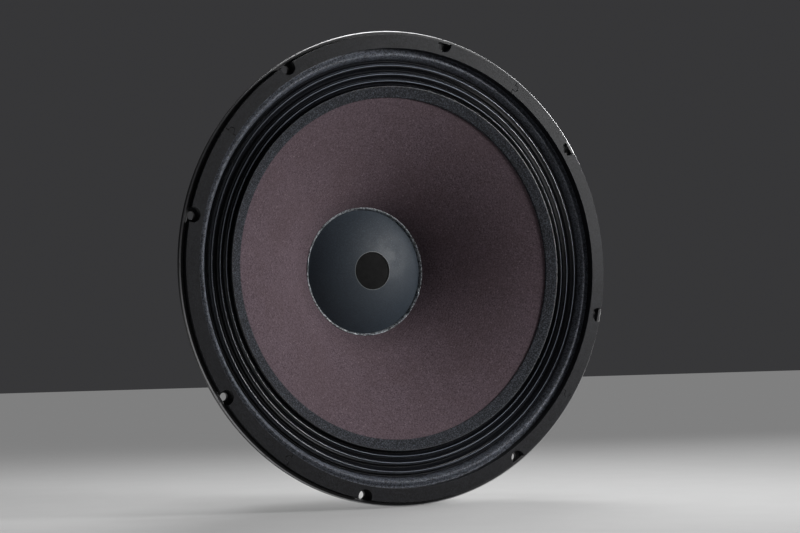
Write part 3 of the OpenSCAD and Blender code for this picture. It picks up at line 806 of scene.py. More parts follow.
@dataclass(frozen=True)
class TurnedMetal(Finish):
    """Metal with the fine rings of a lathe, stained here and there, with scuffed edges that also carry a
    painted highlight.
    """

    stain: Colour = (0.05, 0.05, 0.05)
    stain_share: float = 0.5
    ring_pitch: float = 0.45
    edge_radius: float = 0.3
    # Brightness of the painted highlight on scuffed edges, as a share of the colour.
    edge_highlight: float = 1.5

    def paint(self, graph: Graph, shader: bpy.types.Node) -> None:
        """Add rings, stains and bright edges, partly scuffing and partly painted highlight.

        Args:
            graph: The material's graph.
            shader: Its Principled BSDF.
        """
        rings = graph.effect(EFFECTS.turning, Pitch=self.ring_pitch)
        cloud = graph.effect(EFFECTS.grain, Size=18.0, Low=0.52, High=0.72, Seed=8.0)
        fine = graph.effect(EFFECTS.grain, Size=1.2, Roughness=0.7, Low=0.4, High=0.64)
        pale_marks = graph.effect(EFFECTS.edge_wear_and_highlight, Width=0.5, Amount=0.6)
        base = graph.mix(fine["Mask"], self.shade, self.colour)
        stained = graph.mix(graph.times(cloud["Mask"], self.stain_share), base, self.stain)
        # Painted highlight, with scuffing: convex edges get a brighter copy of the metal's colour.
        brightened = graph.mix(pale_marks["Mask"], stained, self.lit(self.edge_highlight))
        graph.feed(shader.inputs["Base Color"], brightened)
        self.vary_gloss(graph, shader, cloud["Mask"], low=0.0, high=0.15)
        self.emboss(graph, shader, rings["Height"], edge=self.edge_radius)


@dataclass(frozen=True)
class SmallMetal(Finish):
    """Plated small metal parts with faint marks and scuffed edges that also carry a painted highlight."""

    # Brightness of the painted highlight on scuffed edges, as a share of the colour.
    edge_highlight: float = 1.3

    def paint(self, graph: Graph, shader: bpy.types.Node) -> None:
        """Add faint marks and scuffed edges with a painted highlight.

        Args:
            graph: The material's graph.
            shader: Its Principled BSDF.
        """
        fine = graph.effect(EFFECTS.grain, Size=self.grain_size, Roughness=0.65, Low=0.4, High=0.62)
        pale_marks = graph.effect(EFFECTS.edge_wear_and_highlight, Width=0.25, Amount=0.4)
        base = graph.mix(fine["Mask"], self.shade, self.colour)
        # Painted highlight, with scuffing: convex edges get a brighter copy of the metal's colour.
        brightened = graph.mix(pale_marks["Mask"], base, self.lit(self.edge_highlight))
        graph.feed(shader.inputs["Base Color"], brightened)
        self.vary_gloss(graph, shader, fine["Mask"], low=0.08, high=0.0)
        self.emboss(graph, shader, fine["Height"])


@dataclass(frozen=True)
class LaminateBoard(Finish):
    """Resin board that shows the cloth inside it and paler cut edges."""

    cut_edge: Colour = srgb(122, 88, 58)
    print_share: float = 0.5

    def paint(self, graph: Graph, shader: bpy.types.Node) -> None:
        """Add the cloth's print and the cut edges.

        Args:
            graph: The material's graph.
            shader: Its Principled BSDF.
        """
        weave = graph.effect(EFFECTS.weave, Pitch=0.6, Waver=0.3)
        fine = graph.effect(EFFECTS.grain, Size=3.0, Low=0.35, High=0.65)
        pale_marks = graph.effect(EFFECTS.edge_wear_and_highlight, Width=0.4, Amount=0.6)
        base = graph.mix(fine["Mask"], self.shade, self.colour)
        printed = graph.mix(graph.times(weave["Gaps"], self.print_share), base, self.shade)
        graph.feed(shader.inputs["Base Color"], graph.mix(pale_marks["Mask"], printed, self.cut_edge))
        self.emboss(graph, shader, weave["Height"])


@dataclass(frozen=True)
class BraidedTinsel(Finish):
    """Copper tinsel strands braided round a cotton core, along the piece's own UV map."""

    cotton: Colour = srgb(38, 24, 18)
    strands: float = 8.0
    braid_pitch: float = 2.4

    def paint(self, graph: Graph, shader: bpy.types.Node) -> None:
        """Add two crossing sets of strands.

        Args:
            graph: The material's graph.
            shader: Its Principled BSDF.
        """
        turn, run, _ = graph.split(graph.node("ShaderNodeUVMap", uv_map="UVMap").outputs[0])
        around = graph.times(turn, self.strands * math.pi)
        along = graph.times(run, math.pi * self.strands / (self.braid_pitch * MM) / 4)
        sets = [
            graph.math("ABSOLUTE", graph.math("SINE", graph.math(way, around, along)))
            for way in ("ADD", "SUBTRACT")
        ]
        height = graph.math("MAXIMUM", *sets)
        fine = graph.effect(EFFECTS.grain, Size=0.3, Low=0.4, High=0.6)
        strand = graph.mix(fine["Mask"], self.shade, self.colour)
        gaps = graph.remap(height, low=0.85, high=0.6)
        graph.feed(shader.inputs["Base Color"], graph.mix(gaps, strand, self.cotton))
        self.emboss(graph, shader, height)


@dataclass(frozen=True)
class PaleFloor(Finish):
    """Pale floor that shows a little brighter to the camera and in reflections than its light gives."""

    glow: float = 0.2
    white: Colour = (1.0, 1.0, 1.0)

    def paint(self, graph: Graph, shader: bpy.types.Node) -> None:
        """Add faint grain and the glow.

        Args:
            graph: The material's graph.
            shader: Its Principled BSDF.
        """
        super().paint(graph, shader)
        path = graph.node("ShaderNodeLightPath").outputs
        seen = graph.math("MAXIMUM", path["Is Camera Ray"], path["Is Glossy Ray"])
        seen = graph.math("MAXIMUM", seen, path["Is Transmission Ray"])
        shader.inputs["Emission Color"].default_value = (*self.white, 1.0)
        graph.feed(shader.inputs["Emission Strength"], graph.times(seen, self.glow))


class Finishes:
    """Every finish of the driver."""

    CASTING = PaintedCasting(
        "satin_paint", "paint_black", srgb(33, 33, 35), srgb(26, 26, 28), 0.42,
        specular=0.35, grain_depth=0.03,
    )
    GASKET = GasketSheet(
        "gasket_fibre", "gasket", srgb(31, 32, 36), srgb(12, 12, 15), 0.5,
        specular=0.2, grain_depth=0.16,
    )
    CLOTH = DopedCloth(
        "doped_pleats", "doped_cloth", srgb(24, 26, 31), srgb(15, 16, 20), 0.4,
        specular=0.5, grain_depth=0.12,
    )
    PAPER = FeltedPaper(
        "felted_paper", "cone_paper", srgb(107, 93, 100), srgb(77, 65, 71), 0.9,
        specular=0.1, grain_depth=0.2,
    )
    DOME = LacqueredDome(
        "lacquered_dome", "cap_paper", srgb(44, 53, 63), srgb(34, 42, 50), 0.62,
        specular=0.4, grain_depth=0.015,
    )
    SCREEN = WovenSheet(
        "vent_weave", "screen", srgb(30, 30, 30), srgb(22, 22, 22), 0.8,
        specular=0.1, grain_depth=0.1, pitch=0.55, gap=srgb(20, 20, 20),
    )
    GLUE = Finish(
        "dried_glue", "glue", srgb(156, 162, 168), srgb(38, 40, 43), 0.3,
        specular=0.6, coat=0.4, grain_size=1.9, grain_depth=0.35,
    )
    FILM = Finish(
        "former_film", "former_film", srgb(168, 118, 50), srgb(150, 102, 40), 0.35,
        specular=0.5, coat=0.3, grain_size=4.0, grain_depth=0.01,
    )
    ENAMEL = SmallMetal(
        "enamelled_wire", "copper", srgb(190, 112, 66), srgb(150, 82, 46), 0.3,
        metallic=1.0, grain_size=1.5, grain_depth=0.01,
    )
    RESIN_CLOTH = WovenSheet(
        "resin_cloth", "spider_cloth", srgb(150, 116, 62), srgb(130, 96, 48), 0.65,
        specular=0.3, grain_depth=0.14, pitch=0.7, gap=srgb(70, 48, 22),
    )
    ZINC = TurnedMetal(
        "zinc_plate", "zinc_steel", srgb(178, 178, 172), srgb(158, 158, 150), 0.34,
        metallic=1.0, grain_depth=0.01, stain=srgb(128, 122, 100),
    )
    FERRITE = Finish(
        "sintered_ferrite", "ferrite", srgb(62, 62, 66), srgb(46, 46, 50), 0.6,
        specular=0.4, grain_size=1.1, grain_depth=0.06,
    )
    STEEL = TurnedMetal(
        "black_steel", "dark_steel", srgb(92, 92, 94), srgb(72, 72, 75), 0.4,
        metallic=0.9, grain_depth=0.015, stain=srgb(48, 45, 42),
    )
    SCREW = SmallMetal(
        "zinc_screw", "zinc_steel", srgb(186, 185, 178), srgb(150, 150, 142), 0.3,
        metallic=1.0, grain_size=1.0, grain_depth=0.01,
    )
    BOARD = LaminateBoard(
        "resin_board", "board", srgb(84, 56, 36), srgb(58, 38, 24), 0.5,
        specular=0.4, grain_depth=0.03,
    )
    NICKEL = SmallMetal(
        "nickel_post", "nickel", srgb(205, 202, 194), srgb(180, 176, 168), 0.22,
        metallic=1.0, grain_size=0.8, grain_depth=0.006,
    )
    RED = Finish(
        "red_plastic", "red_plastic", srgb(176, 34, 28), srgb(160, 26, 22), 0.38,
        specular=0.5, grain_size=0.5, grain_depth=0.02,
    )
    BLACK = Finish(
        "black_plastic", "black_plastic", srgb(40, 40, 42), srgb(32, 32, 34), 0.38,
        specular=0.5, grain_size=0.5, grain_depth=0.02,
    )
    SPRING = SmallMetal(
        "spring_steel", "nickel", srgb(170, 170, 172), srgb(140, 140, 144), 0.3,
        metallic=1.0, grain_size=0.5, grain_depth=0.005,
    )
    TINSEL = BraidedTinsel(
        "braided_tinsel", "tinsel", srgb(196, 138, 98), srgb(160, 104, 70), 0.42,
        metallic=0.6, specular=0.5, grain_depth=0.18,
    )


@dataclass
class Piece:
    """One new piece of the visual model, made from a bmesh."""

    name: str
    finish: Finish
    body: str = BASKET
    replaced: tuple[str, ...] = ()
    crease: float = 32.0

    def make(self, shape: bmesh.types.BMesh) -> bpy.types.Object:
        """Turn the shape into an object with its finish, and free the shape.

        Args:
            shape: The finished shape, in metres, with faces that point outwards.

        Returns:
            The object, which rides on nothing yet.
        """
        limit = math.radians(self.crease)
        for face in shape.faces:
            face.smooth = True
        for edge in shape.edges:
            edge.smooth = len(edge.link_faces) == 2 and edge.calc_face_angle(0.0) <= limit
        mesh = bpy.data.meshes.new(self.name)
        shape.to_mesh(mesh)
        shape.free()
        mesh.materials.append(self.finish.material())
        made = bpy.data.objects.new(self.name, mesh)
        bpy.context.scene.collection.objects.link(made)
        if self.replaced:
            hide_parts(*self.replaced)
        return made

    def firm(self, shape: bmesh.types.BMesh) -> bpy.types.Object:
        """Make a rigid piece that rides on its body.

        Args:
            shape: The finished shape.

        Returns:
            The object.
        """
        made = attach(self.make(shape), self.body)
        self.report(made)
        return made

    def report(self, made: bpy.types.Object) -> None:
        """Log a rigid piece with its body and its number of faces."""
        log.info("%s rides on %s, %d faces", made.name, self.body, len(made.data.polygons))

    def flex(self, shape: bmesh.types.BMesh) -> bpy.types.Object:
        """Make a piece that rides on no body, with its place baked into its mesh.

        Args:
            shape: The finished shape.

        Returns:
            The object.
        """
        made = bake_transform(self.make(shape))
        log.info("%s bends, %d faces", made.name, len(made.data.polygons))
        return made


def closed(shape: bmesh.types.BMesh) -> bmesh.types.BMesh:
    """Merge doubles, drop flat faces and turn the faces outwards.

    Args:
        shape: The shape to close.

    Returns:
        The same shape.
    """
    bmesh.ops.remove_doubles(shape, verts=shape.verts, dist=MERGED)
    bmesh.ops.dissolve_degenerate(shape, dist=SLIVER, edges=shape.edges)
    bmesh.ops.recalc_face_normals(shape, faces=shape.faces)
    return shape


def spun(
    outline: Sequence[Point],
    steps: int = 192,
    start: float = 0.0,
    turn: float = 360.0,
    shape: bmesh.types.BMesh | None = None,
) -> bmesh.types.BMesh:
    """Spin a closed outline round the drive axis.

    Args:
        outline: Radius and height of each corner.
        steps: Number of steps in the turn.
        start: Angle at which the turn starts, in degrees.
        turn: How far it goes, in degrees.
        shape: A shape to add to, or None for a new one.

    Returns:
        The closed shape.
    """
    shape = bmesh.new() if shape is None else shape
    corners = [shape.verts.new(at(r, h, start)) for r, h in outline]
    edges = [shape.edges.new(pair) for pair in zip(corners, corners[1:] + corners[:1])]
    full = turn >= 360.0
    bmesh.ops.spin(
        shape,
        geom=corners + edges,
        cent=(0, 0, 0),
        axis=(0, -1, 0),
        angle=math.radians(turn),
        steps=steps,
        use_merge=full,
        use_duplicate=False,
    )
    if not full:
        ends = [edge for edge in shape.edges if edge.is_boundary]
        bmesh.ops.edgeloop_fill(shape, edges=ends)
    return closed(shape)


def swept(route: Sequence[Vector], radius: float, sides: int = 12) -> bmesh.types.BMesh:
    """Sweep a circle along a route, with a UV map that counts turns and metres.

    Args:
        route: The points of the route, in metres.
        radius: The circle's radius in millimetres.
        sides: The number of its sides.

    Returns:
        The closed tube.
    """
    shape = bmesh.new()
    run_layer = shape.verts.layers.float.new("run")
    side_layer = shape.verts.layers.int.new("side")
    last = len(route) - 1
    ways = [(route[min(i + 1, last)] - route[max(i - 1, 0)]).normalized() for i in range(last + 1)]
    across = ways[0].orthogonal().normalized()
    run = 0.0
    edges: list[bmesh.types.BMEdge] = []
    for i, point in enumerate(route):
        across = (across - ways[i] * across.dot(ways[i])).normalized()
        other = ways[i].cross(across)
        if i:
            run += (point - route[i - 1]).length
            grown = bmesh.ops.extrude_edge_only(shape, edges=edges)["geom"]
            edges = [item for item in grown if isinstance(item, bmesh.types.BMEdge)]
            edges = [edge for edge in edges if len(edge.link_faces) == 1]
            ring = sorted({v for edge in edges for v in edge.verts}, key=lambda v: v[side_layer])
        else:
            grown = bmesh.ops.create_circle(shape, segments=sides, radius=radius * MM)
            ring = grown["verts"]
            edges = list(shape.edges)
            for number, vert in enumerate(ring):
                vert[side_layer] = number
        for vert in ring:
            angle = math.tau * vert[side_layer] / sides
            vert.co = point + (across * math.cos(angle) + other * math.sin(angle)) * radius * MM
            vert[run_layer] = run
    uv = shape.loops.layers.uv.new("UVMap")
    for face in shape.faces:
        numbers = [loop.vert[side_layer] for loop in face.loops]
        wraps = max(numbers) == sides - 1 and min(numbers) == 0
        for loop, number in zip(face.loops, numbers):
            turned = number + sides if wraps and number == 0 else number
            loop[uv].uv = (turned / sides, loop.vert[run_layer])
    ends = [edge for edge in shape.edges if edge.is_boundary]
    bmesh.ops.edgeloop_fill(shape, edges=ends)
    bmesh.ops.recalc_face_normals(shape, faces=shape.faces)
    return shape


def copied(node: str, edge: float = 0.0, sharp: float = 30.0, flat: float = 0.5) -> bmesh.types.BMesh:
    """Copy a CAD node's mesh, merge its loose triangles and round its sharp edges.

    Args:
        node: The CAD node.
        edge: The width of the rounding in millimetres, or 0 for none.
        sharp: The angle from which an edge is sharp, in degrees.
        flat: The angle up to which faces are joined before the rounding, in degrees.

    Returns:
        The merged copy.
    """
    shape = bmesh.new()
    shape.from_mesh(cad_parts[node].data)
    bmesh.ops.remove_doubles(shape, verts=shape.verts, dist=MERGED_COPY)
    if edge:
        bmesh.ops.dissolve_limit(
            shape, angle_limit=math.radians(flat), verts=shape.verts, edges=shape.edges
        )
        limit = math.radians(sharp)
        edges = [e for e in shape.edges if len(e.link_faces) == 2 and e.calc_face_angle(0.0) > limit]
        bmesh.ops.bevel(
            shape, geom=edges, offset=edge * MM, affect="EDGES", segments=2, profile=0.5,
            material=-1, clamp_overlap=True,
        )
    return shape


def cut_out(piece: bpy.types.Object, cutter: bmesh.types.BMesh) -> None:
    """Cut a shape out of a piece for good.

    Args:
        piece: The piece.
        cutter: The closed shape to cut out, which is freed.
    """
    mesh = bpy.data.meshes.new("cutter")
    cutter.to_mesh(mesh)
    cutter.free()
    tool = bpy.data.objects.new("cutter", mesh)
    bpy.context.scene.collection.objects.link(tool)
    change = piece.modifiers.new("cut", "BOOLEAN")
    change.object = tool
    change.operation = "DIFFERENCE"
    change.solver = "EXACT"
    graph = bpy.context.evaluated_depsgraph_get()
    result = bpy.data.meshes.new_from_object(piece.evaluated_get(graph))
    piece.modifiers.clear()
    piece.data = result
    bpy.data.objects.remove(tool)


def arc(start: Point, end: Point, centre: Point, steps: int, shift: float = 0.0) -> list[Point]:
    """List the points of a short arc round a centre.

    Args:
        start: The first point.
        end: The last point.
        centre: The arc's centre.
        steps: The number of steps.
        shift: How far the points are moved away from the centre.

    Returns:
        The points.
    """
    first = math.atan2(start[1] - centre[1], start[0] - centre[0])
    last = math.atan2(end[1] - centre[1], end[0] - centre[0])
    reach = math.hypot(start[0] - centre[0], start[1] - centre[1]) + shift
    angles = [first + (last - first) * i / steps for i in range(steps + 1)]
    return [(centre[0] + reach * math.cos(a), centre[1] + reach * math.sin(a)) for a in angles]


def thickened(line: Sequence[Point], thickness: float) -> list[Point]:
    """Close a line into an outline whose thickness is measured along the axis.

    Args:
        line: The middle line.
        thickness: The thickness.

    Returns:
        The outline.
    """
    upper = [(r, h + thickness / 2) for r, h in line]
    lower = [(r, h - thickness / 2) for r, h in reversed(line)]
    return upper + lower


@dataclass
class ConeCurve:
    """The cone's front face in section: an arc from the neck to the edge.

    The flare is half the angle in degrees through which the arc turns.
    """

    neck: Point = (38.6, -78.8)
    edge: Point = (147.4, 1.9)
    flare: float = 9.0

    def __post_init__(self) -> None:
        """Find the arc's centre and radius."""
        across = (self.edge[0] - self.neck[0], self.edge[1] - self.neck[1])
        chord = math.hypot(*across)
        self.reach = chord / 2 / math.sin(math.radians(self.flare))
        back = self.reach * math.cos(math.radians(self.flare)) / chord
        middle = ((self.neck[0] + self.edge[0]) / 2, (self.neck[1] + self.edge[1]) / 2)
        self.centre = (middle[0] + across[1] * back, middle[1] - across[0] * back)

    def height(self, radius: float) -> float:
        """Height of the front face at a radius."""
        return self.centre[1] + math.sqrt(self.reach**2 - (radius - self.centre[0]) ** 2)

    def slope(self, radius: float) -> float:
        """Slope of the front face at a radius, in radians."""
        return math.atan2(self.centre[0] - radius, self.height(radius) - self.centre[1])


@dataclass
class Basket:
    """The cast basket with its flange, and the screws that hold it on the top plate."""

    screw_edge: float = 0.3

    def build(self) -> None:
        """Dress the casting and the base screws."""
        Piece("basket_casting", Finishes.CASTING, replaced=("frame",)).firm(copied("frame"))
        screws = Piece("base_screw_set", Finishes.SCREW, replaced=("base_screws",), crease=FACET)
        screws.firm(copied("base_screws", self.screw_edge))


@dataclass
class GasketRing:
    """The ring of gasket segments that lock into each other with knobs."""

    segments: int = 4
    edge: float = 0.35
    sharp: float = 50.0

    def build(self) -> None:
        """Round the edges of each segment."""
        for number in range(1, self.segments + 1):
            node = f"gasket_segment_{number}"
            piece = Piece(f"gasket_part_{number}", Finishes.GASKET, replaced=(node,), crease=FACET)
            piece.firm(copied(node, self.edge, self.sharp))


@dataclass
class Surround:
    """The pleated cloth ring between the cone and the flange, in sectors.

    The turns are the places where its middle line turns back, from the first pleat to the outer
    roll. The foot of the first pleat is a step off the cone's edge, outwards and forwards.
    """

    curve: ConeCurve
    sectors: int = 36
    steps: int = 10
    cuff_start: float = 139.5
    cuff_steps: int = 8
    cone_edge: float = 147.4
    step_off: Point = (0.9, 0.4)
    thickness: float = 0.6
    turns: tuple[Point, ...] = (
        (150.5, -1.2), (152.7, 2.2), (155.3, -1.6), (158.1, 2.5), (161.7, -1.8),
        (165.3, 2.8), (169.0, -1.6), (173.6, 5.0), (178.1, 3.5),
    )
    pleat_steps: int = 12
    rim_start: float = 180.6
    rim_end: float = 189.2
    rim_height: float = 3.5
    notch_radius: float = 6.0
    notch_circle: float = 187.5
    notch_sides: int = 48
    notch_depth: float = 4.0

    def line(self) -> list[Point]:
        """List the middle line from the cuff to the flat rim.

        Returns:
            Radius and height of each point.
        """
        lift = self.thickness
        wide = self.cone_edge - self.cuff_start
        cuff = [self.cuff_start + wide * i / self.cuff_steps for i in range(self.cuff_steps + 1)]
        points = [(r, self.curve.height(r) + lift) for r in cuff]
        foot = self.curve.height(self.cone_edge) + lift + self.step_off[1]
        turns = [(self.cone_edge + self.step_off[0], foot), *self.turns]
        for near, far in zip(turns, turns[1:]):
            for i in range(self.pleat_steps):
                share = i / self.pleat_steps
                rise = (1 - math.cos(math.pi * share)) / 2
                points.append((near[0] + (far[0] - near[0]) * share, near[1] + (far[1] - near[1]) * rise))
        return [*points, turns[-1], (self.rim_start, self.rim_height)]

    def build(self) -> None:
        """Build the sectors and the flat rim under the gasket."""
        outline = thickened(self.line(), self.thickness)
        wide = 360.0 / self.sectors
        for number in range(self.sectors):
            start = number * wide
            name = f"surround_sector_{number + 1:02d}"
            piece = Piece(name, Finishes.CLOTH, replaced=("surround",), crease=FOLD)
            piece.flex(spun(outline, self.steps, start, wide))
        self.build_rim()

    def build_rim(self) -> None:
        """Build the flat rim and cut the notches of the mounting holes out of it."""
        half = self.thickness / 2
        low, high = self.rim_height - half, self.rim_height + half
        rim = [(self.rim_start, low), (self.rim_end, low), (self.rim_end, high), (self.rim_start, high)]
        cutter = bmesh.new()
        upright = Matrix.Rotation(math.radians(90), 4, "X")
        radius = self.notch_radius * MM
        for number in range(HOLES):
            centre = at(self.notch_circle, self.rim_height, HOLE_ANGLE + number * HOLE_STEP)
            bmesh.ops.create_cone(
                cutter, cap_ends=True, segments=self.notch_sides, radius1=radius, radius2=radius,
                depth=self.notch_depth * MM, matrix=Matrix.Translation(centre) @ upright,
            )
        piece = Piece("surround_rim", Finishes.CLOTH, replaced=("surround",))
        made = piece.make(spun(rim))
        cut_out(made, cutter)
        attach(made, BASKET)
        piece.report(made)


@dataclass
class ConeAssembly:
    """What the voice coil moves: cone, dust cap, vent screen, glue, former, winding, lead anchors.

    The bead's share is how much of its height is left after two noises, each with its number of
    waves in a metre and its strength, and lies between a least and a most. A ripple is a place along
    a wire's diameter, as a share of it, and the depth of the outline there.
    """

    curve: ConeCurve
    paper: float = 1.0
    curve_steps: int = 60
    paper_turn_steps: int = 240
    collar_radius: float = 38.25
    collar_length: float = 5.0
    collar_lap: float = 0.3
    collar_turn_steps: int = 120
    cap_radius: float = 52.0
    cap_rise: float = 17.2
    cap_paper: float = 0.8
    cap_steps: int = 30
    vent_radius: float = 15.8
    screen_lap: float = 3.0
    screen_thickness: float = 0.4
    screen_steps: int = 12
    screen_turn_steps: int = 96
    bead_width: float = 2.0
    bead_height: float = 1.7
    bead_corners: int = 9
    bead_turn_steps: int = 480
    bead_fill: float = 0.9
    bead_power: float = 0.8
    bead_share: float = 0.72
    bead_least: float = 0.25
    bead_most: float = 1.1
    bead_waves: Point = (140.0, 0.6)
    bead_lumps: Point = (520.0, 0.35)
    bead_crease: float = 60.0
    former_radius: float = 37.9
    former_thickness: float = 0.3
    former_top: float = -72.0
    former_length: float = 52.0
    coil_turn_steps: int = 160
    wire: float = 0.45
    wire_crease: float = 80.0
    ripple: tuple[Point, ...] = ((0.0, 0.16), (0.25, 0.03), (0.5, 0.0), (0.75, 0.03))
    winding_top: float = -103.0
    winding_length: float = 18.0
    winding_depth: float = 0.95
    anchor_edge: float = 0.5
    bond: float = 0.05
    seed: float = 4.0

    def __post_init__(self) -> None:
        """Find the sphere of the dust cap and where it stands on the cone."""
        self.sphere = (self.cap_radius**2 + self.cap_rise**2) / 2 / self.cap_rise
        edge = math.asin(self.cap_radius / self.sphere)
        slope = self.curve.slope(self.cap_radius)
        lift = self.cap_paper * (math.cos(edge) - math.sin(edge) * math.tan(slope))
        base = self.curve.height(self.cap_radius) + self.bond + max(0.0, lift)
        self.cap_centre = base + self.cap_rise - self.sphere

    def build(self) -> None:
        """Build every piece that moves with the voice coil."""
        self.build_cone()
        self.build_cap()
        self.build_bead()
        self.build_coil()
        anchors = Piece("lead_anchor_pads", Finishes.GLUE, CONE, ("lead_anchors",), FACET)
        anchors.firm(copied("lead_anchors", self.anchor_edge))

    def build_cone(self) -> None:
        """Build the paper cone with its collar on the former."""
        curve, lap = self.curve, self.collar_lap
        front = arc(curve.neck, curve.edge, curve.centre, self.curve_steps)
        back = arc(curve.neck, curve.edge, curve.centre, self.curve_steps, -self.paper)
        shape = spun(front + list(reversed(back)), self.paper_turn_steps)
        top = curve.neck[1] + lap
        low = curve.neck[1] - self.collar_length
        inner, outer = self.collar_radius, self.collar_radius + self.paper
        collar = [(inner, low + lap), (inner + lap, low), (outer, low), (outer, top), (inner, top)]
        Piece("cone_paper_shell", Finishes.PAPER, CONE, ("cone",)).firm(shape)
        Piece("cone_collar", Finishes.PAPER, CONE, ("cone",)).firm(spun(collar, self.collar_turn_steps))

    def dome(self, near: float, far: float, drop: float, thickness: float, steps: int) -> list[Point]:
        """List the outline of a sheet that follows the cap's sphere.

        Args:
            near: Radius at which the sheet starts.
            far: Radius at which it ends.
            drop: How far it lies below the cap's outer face.
            thickness: Its thickness.
            steps: Number of steps from near to far.

        Returns:
            The outline.
        """
        outer = self.sphere - drop
        first, last = math.asin(near / outer), math.asin(far / outer)
        angles = [first + (last - first) * i / steps for i in range(steps + 1)]
        inner = outer - thickness
        over = [(outer * math.sin(a), self.cap_centre + outer * math.cos(a)) for a in angles]
        under = [(inner * math.sin(a), self.cap_centre + inner * math.cos(a)) for a in reversed(angles)]
        return over + under

    def build_cap(self) -> None:
        """Build the dust cap and the screen behind its vent."""
        cap = spun(self.dome(self.vent_radius, self.cap_radius, 0.0, self.cap_paper, self.cap_steps))
        Piece("dust_cap_dome", Finishes.DOME, CONE, ("dust_cap",)).firm(cap)
        reach = self.vent_radius + self.screen_lap
        below = self.cap_paper + self.bond
        screen = spun(
            self.dome(0.0, reach, below, self.screen_thickness, self.screen_steps), self.screen_turn_steps
        )
        Piece("vent_screen_disc", Finishes.SCREEN, CONE, ("vent_screen",)).firm(screen)

    def build_bead(self) -> None:
        """Build the uneven bead of glue round the dust cap."""
        near = self.cap_radius + self.bond
        far = near + self.bead_width
        points: list[Point] = []
        for i in range(self.bead_corners):
            turn = math.pi * i / (self.bead_corners - 1)
            radius = near + self.bead_width / 2 * (1 - math.cos(turn))
            rise = self.bead_height * self.bead_fill * math.sin(turn) ** self.bead_power
            points.append((radius, self.curve.height(radius) + self.bond + rise))
        points.append(((near + far) / 2, self.curve.height((near + far) / 2) + self.bond))
        shape = spun(list(reversed(points)), self.bead_turn_steps)
        for vert in shape.verts:
            radius = math.hypot(vert.co.x, vert.co.z)
            floor = -(self.curve.height(radius / MM) + self.bond) * MM
            rise = floor - vert.co.y
            wave = noise.noise(vert.co * self.bead_waves[0] + Vector((self.seed, 0, 0)))
            lump = noise.noise(vert.co * self.bead_lumps[0] + Vector((0, self.seed, 0)))
            share = self.bead_share + self.bead_waves[1] * wave + self.bead_lumps[1] * lump
            vert.co.y = floor - rise * min(self.bead_most, max(self.bead_least, share))
        Piece("cap_glue_ring", Finishes.GLUE, CONE, ("cap_glue_bead",), self.bead_crease).firm(shape)

    def build_coil(self) -> None:
        """Build the former and the turns of wire on it."""
        inner, outer = self.former_radius, self.former_radius + self.former_thickness
        low = self.former_top - self.former_length
        tube = [(inner, low), (outer, low), (outer, self.former_top), (inner, self.former_top)]
        former = Piece("former_tube", Finishes.FILM, CONE, ("coil_former",))
        former.firm(spun(tube, self.coil_turn_steps))
        near = outer + self.bond
        far = near + self.winding_depth
        bottom = self.winding_top - self.winding_length
        ripples: list[Point] = []
        for i in range(int(self.winding_length / self.wire)):
            start = self.winding_top - i * self.wire
            for share, depth in self.ripple:
                ripples.append((far - depth, start - share * self.wire))
        outline = [(near, bottom), (near, self.winding_top), *ripples, (far - self.ripple[0][1], bottom)]
        winding = Piece("wire_turns", Finishes.ENAMEL, CONE, ("coil_winding",), self.wire_crease)
        winding.firm(spun(outline, self.coil_turn_steps))


@dataclass
class Spider:
    """The waved cloth disc that centres the voice coil, in sectors.

    Middle is the height of the waves' middle line, and wave is how far they swing from it.
    """

    sectors: int = 24
    steps: int = 10
    inner: float = 38.5
    wave_start: float = 42.5
    wave_end: float = 82.0
    outer: float = 91.0
    middle: float = -92.65
    wave: float = 2.4
    waves: int = 5
    wave_steps: int = 16
    thickness: float = 0.6
    collar_gap: float = 0.3
    collar_height: float = 5.0
    collar_thickness: float = 0.7
    collar_bevel: float = 0.3
    collar_turn_steps: int = 120

    def line(self) -> list[Point]:
        """List the middle line from the collar to the rim.

        Returns:
            Radius and height of each point.
        """
        points = [(self.inner + self.collar_gap, self.middle)]
        count = self.waves * self.wave_steps
        wide = self.wave_end - self.wave_start
        for i in range(count + 1):
            share = i / count
            swing = self.wave * math.sin(math.tau * self.waves * share)
            points.append((self.wave_start + wide * share, self.middle + swing))
        return [*points, (self.outer, self.middle)]

    def build(self) -> None:
        """Build the sectors and the collar glued round the former."""
        outline = thickened(self.line(), self.thickness)
        wide = 360.0 / self.sectors
        for number in range(self.sectors):
            start = number * wide
            name = f"spider_sector_{number + 1:02d}"
            piece = Piece(name, Finishes.RESIN_CLOTH, replaced=("spider",), crease=FOLD)
            sector = spun(outline, self.steps, start, wide)
            piece.flex(sector)
        low = self.middle - self.thickness / 2
        high = self.middle + self.collar_height
        inner, outer, bevel = self.inner, self.inner + self.collar_thickness, self.collar_bevel
        outline = [(inner, low), (outer, low), (outer, high - bevel), (outer - bevel, high), (inner, high)]
        collar = Piece("spider_collar", Finishes.RESIN_CLOTH, CONE, ("spider",))
        collar.firm(spun(outline, self.collar_turn_steps))


@dataclass
class Motor:
    """Top plate, ring magnet and back plate with its pole."""

    magnet_edge: float = 0.5
    steel_edge: float = 0.4

    def build(self) -> None:
        """Dress the three parts of the magnetic circuit."""
        Piece("top_plate_disc", Finishes.ZINC, replaced=("top_plate",)).firm(copied("top_plate"))
        magnet = Piece("magnet_block", Finishes.FERRITE, replaced=("magnet_ring",), crease=FACET)
        magnet.firm(copied("magnet_ring", self.magnet_edge))
        back = Piece("back_plate_and_pole", Finishes.STEEL, replaced=("pole_yoke",), crease=FACET)
        back.firm(copied("pole_yoke", self.steel_edge))


class Shade(Enum):
    """The two terminals, each with its side of the axis."""

    RED = 1
    BLACK = -1


